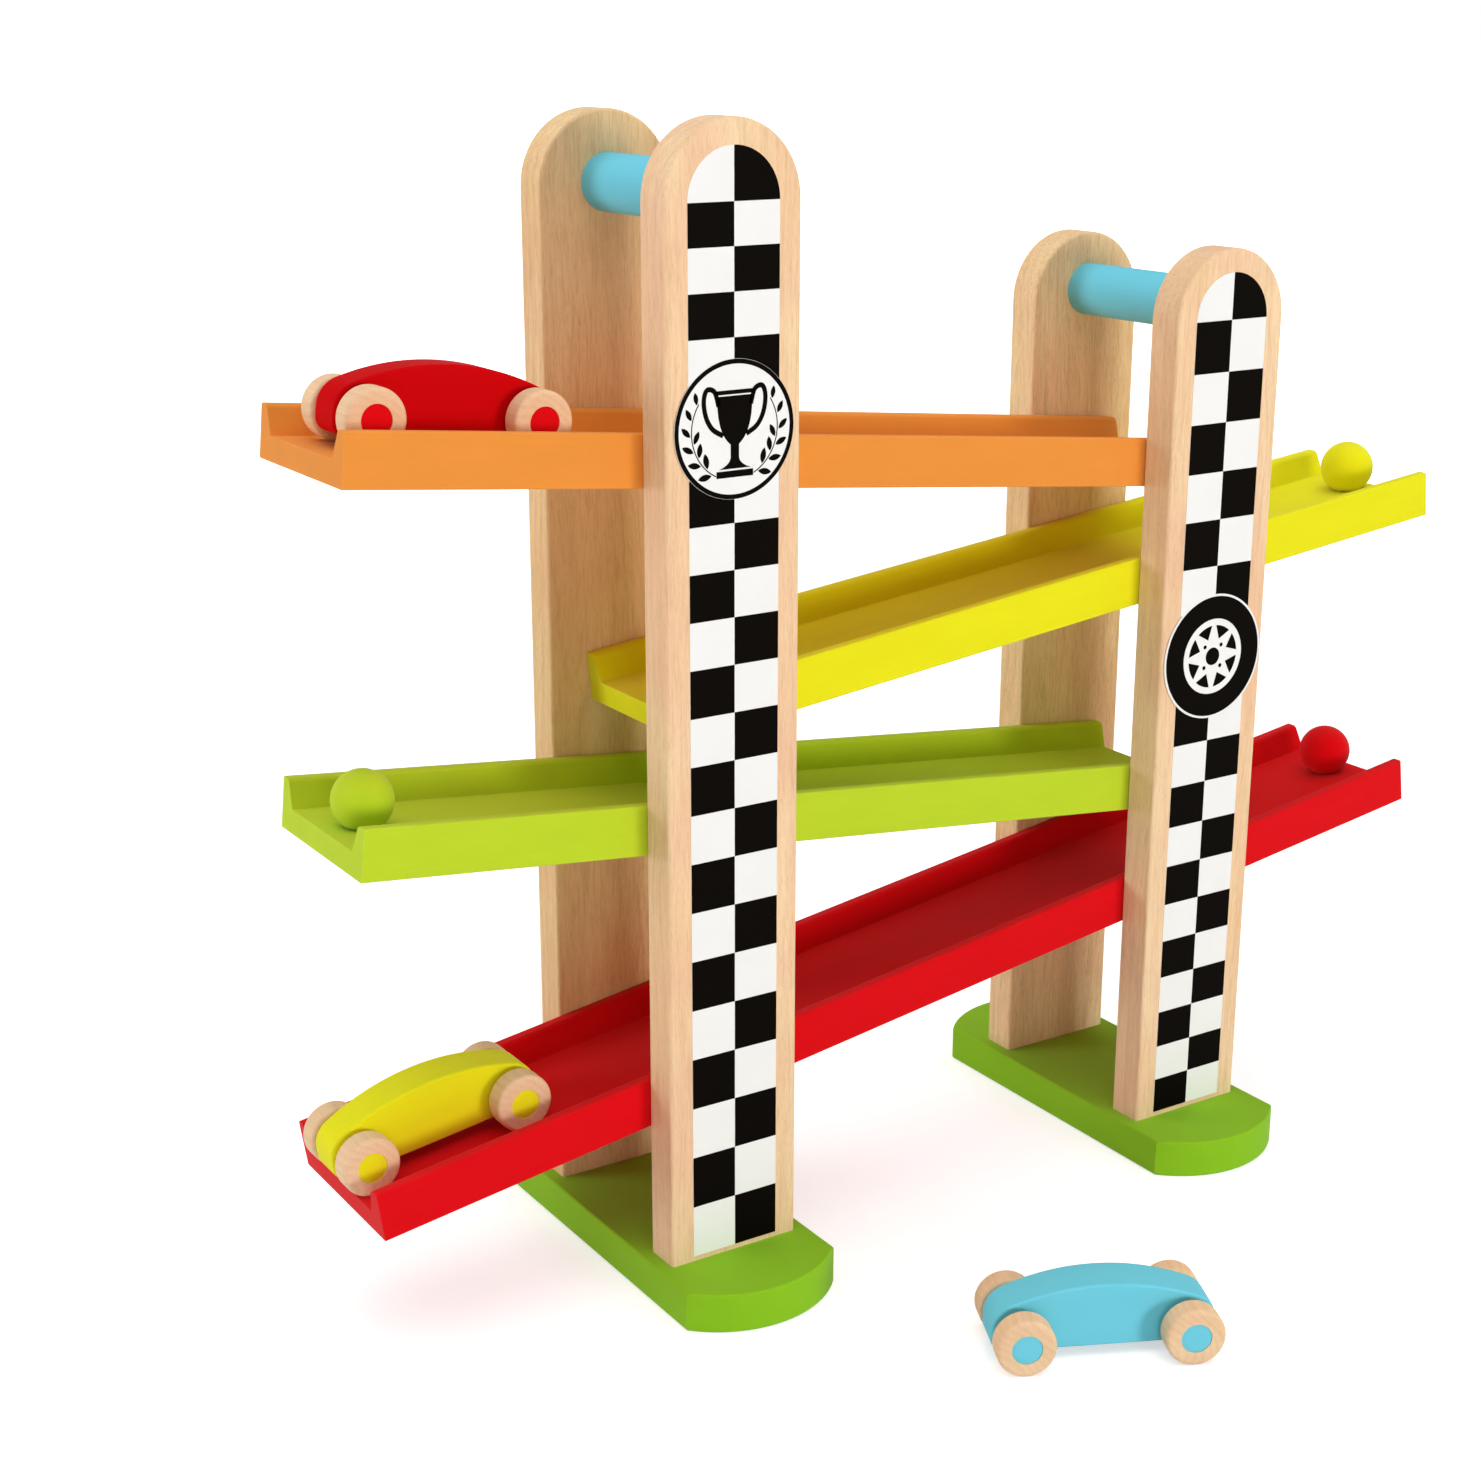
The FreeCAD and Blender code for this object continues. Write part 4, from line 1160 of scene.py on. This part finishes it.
def smoothPath(points):
    # a smooth curve through the points
    steps = outlineSteps["curve"]
    padded = [points[0]] + points + [points[-1]]
    path = [points[0]]
    for a, b, c, d in zip(padded, padded[1:], padded[2:], padded[3:]):
        for step in range(1, steps + 1):
            t = step / steps
            path.append(tuple(0.5 * (2 * q + (r - p) * t + (2 * p - 5 * q + 4 * r - s) * t * t
                                     + (3 * q - p - 3 * r + s) * t ** 3)
                              for p, q, r, s in zip(a, b, c, d)))
    return path


def leafOutline(length, width, bluntness):
    steps = outlineSteps["leaf"]
    points = [(length * step / steps, width / 2 * math.sin(math.pi * step / steps) ** bluntness)
              for step in range(steps + 1)]
    return points + [(x, -y) for x, y in points[-2:0:-1]]


def mirrored(bm):
    # the shape and its mirror image, turned the right way out
    copy = bmesh.ops.duplicate(bm, geom=bm.verts[:] + bm.edges[:] + bm.faces[:])["geom"]
    points = [item for item in copy if isinstance(item, bmesh.types.BMVert)]
    bmesh.ops.scale(bm, vec=(-1, 1, 1), verts=points)
    faces = [item for item in copy if isinstance(item, bmesh.types.BMFace)]
    bmesh.ops.reverse_faces(bm, faces=faces)
    return bm


def makeCupBadge():
    # a winner's cup between two laurel sprigs, inside a thin ring
    node = "trophy_badge_sticker"
    radius, face = layBadge(node)
    look = cupBadge
    shapes = [inkedRing(radius - look["rimInset"] * mm, radius - look["rim"] * mm)]
    shapes += [inkedMillimetres(wholeOutline(half)) for half in look["cup"].values()]
    ear = ribbon(smoothPath(look["ear"]), look["earWidth"])
    shapes.append(mirrored(inkedMillimetres(ear)))
    start, step = math.radians(look["sprigStart"]), math.radians(look["sprigStep"])
    for leaves in look["leaves"].values():
        leaf = inkedMillimetres(leafOutline(*look["leaf"]))
        shapes.append(mirrored(stamped(
            leaf, stampArc, count=leaves["count"], radius=(look["stem"] + leaves["aside"]) * mm,
            firstAngle=start + leaves["first"] * step, stepAngle=step,
            lean=math.radians(leaves["lean"]), shrink=leaves["shrink"])))
    sweep = look["sprigStep"] * (look["leaves"]["outer"]["count"] - 1)
    arc = arcPoints((0, 0), look["stem"], look["sprigStart"] - look["stemBelow"],
                    look["sprigStart"] + sweep + look["stemBeyond"], outlineSteps["stem"])
    shapes.append(mirrored(inkedMillimetres(ribbon(arc, look["stemWidth"]))))
    printOn(node, "trophy_badge_print", shapes, face)


makeTyreBadge()
makeCupBadge()
print("badges made")


# The small pieces that keep their CAD shape get their finish
for name, node in nodes.items():
    if not node.hide_render:
        for slot in node.material_slots:
            slot.material = screwSteel if slotOf[name] == "screw_steel" else woodOf["dowelWood"]
print("small pieces finished")


# Studio

studio = {"ceilingFrom": 0.6, "ceilingLight": 0.32, "zenithLight": 1.45,
          "lampTarget": (0.08, 0, 0.15)}
floorLook = {"radius": 40.0, "segments": 96, "grey": 0.80, "roughness": 0.9, "lift": 0.55,
             "fadeFrom": 0.7, "fadeTo": 1.6}
warmWhite = (1.0, 0.99, 0.97)
lamps = {
    "keyLamp": {"place": (0.6, -2.7, 0.25), "size": 0.7, "power": 29, "colour": warmWhite},
    "cornerLamp": {"place": (-1.0, -2.6, 0.3), "size": 0.8, "power": 8, "colour": warmWhite},
    "sideLamp": {"place": (-2.2, 1.4, 0.5), "size": 1.2, "power": 26, "colour": (1.0, 1.0, 1.0)},
    "topLamp": {"place": (-0.3, -1.2, 2.4), "size": 1.3, "power": 4, "colour": warmWhite},
}
photoView = {"place": (-0.3304, -0.5605, 0.3553), "pitchDown": 16.98, "headingRight": 32.51,
             "lens": 57.617, "sensor": 36.0}


def seenDirectly(tree):
    # 1 for what the camera sees straight, in a gloss or through glass
    rays = tree.nodes.new("ShaderNodeLightPath").outputs
    seen = calc(tree, "MAXIMUM", rays["Is Camera Ray"], rays["Is Glossy Ray"])
    return calc(tree, "MAXIMUM", seen, rays["Is Transmission Ray"])


def makeSky():
    # the light falls from a soft ceiling, brightest overhead, that fades out towards the horizon
    world = bpy.data.worlds.new("softStudio")
    bpy.context.scene.world = world
    world.use_nodes = True
    tree = world.node_tree
    tree.nodes.clear()
    direction = tree.nodes.new("ShaderNodeTexCoord").outputs["Generated"]
    height = addNode(tree, "ShaderNodeSeparateXYZ", {0: direction}).outputs[2]
    edge = studio["ceilingFrom"]
    glow = calc(tree, "ADD", spread(tree, height, 0.0, edge, 0.0, studio["ceilingLight"]),
                spread(tree, height, edge, 1.0, 0.0, studio["zenithLight"]))
    strength = calc(tree, "MAXIMUM", seenDirectly(tree), glow)
    sky = addNode(tree, "ShaderNodeBackground", {"Color": (1, 1, 1), "Strength": strength})
    addNode(tree, "ShaderNodeOutputWorld", {0: sky.outputs[0]})


def makeFloor():
    # the floor keeps the shadow near the set, and runs out into plain white
    look = floorLook
    bm = bmesh.new()
    bmesh.ops.create_circle(bm, cap_ends=True, radius=look["radius"], segments=look["segments"])
    floor = addObject("floor", meshFrom(bm))
    material, tree, shader = newMaterial("paleFloor", {
        "Roughness": look["roughness"], "Specular IOR Level": 0.0,
        "Base Color": (look["grey"],) * 3, "Emission Color": (1, 1, 1)})
    place = tree.nodes.new("ShaderNodeTexCoord").outputs["Object"]
    reach = vectorCalc(tree, "LENGTH", place, output="Value")
    fade = spread(tree, reach, look["fadeFrom"], look["fadeTo"], look["lift"], 1.0)
    glow = calc(tree, "MULTIPLY", seenDirectly(tree), fade)
    fill(tree, shader.inputs, {"Emission Strength": glow})
    floor.data.materials.append(material)


def makeLamp(name):
    look = lamps[name]
    light = bpy.data.lights.new(name, "AREA")
    light.shape = "DISK"
    light.size = look["size"]
    light.energy = look["power"]
    light.color = look["colour"]
    lamp = addObject(name, light)
    lamp.location = look["place"]
    ray = Vector(studio["lampTarget"]) - lamp.location
    lamp.rotation_euler = ray.to_track_quat("-Z", "Y").to_euler()


def makeCamera():
    view = bpy.data.cameras.new("photoCamera")
    view.lens = photoView["lens"]
    view.sensor_width = photoView["sensor"]
    camera = addObject("photoCamera", view)
    camera.location = photoView["place"]
    camera.rotation_euler = (math.radians(90 - photoView["pitchDown"]), 0,
                             -math.radians(photoView["headingRight"]))
    bpy.context.scene.camera = camera


bpy.context.scene.view_settings.view_transform = "Standard"
makeSky()
makeFloor()
for name in lamps:
    makeLamp(name)
makeCamera()
print("studio ready")
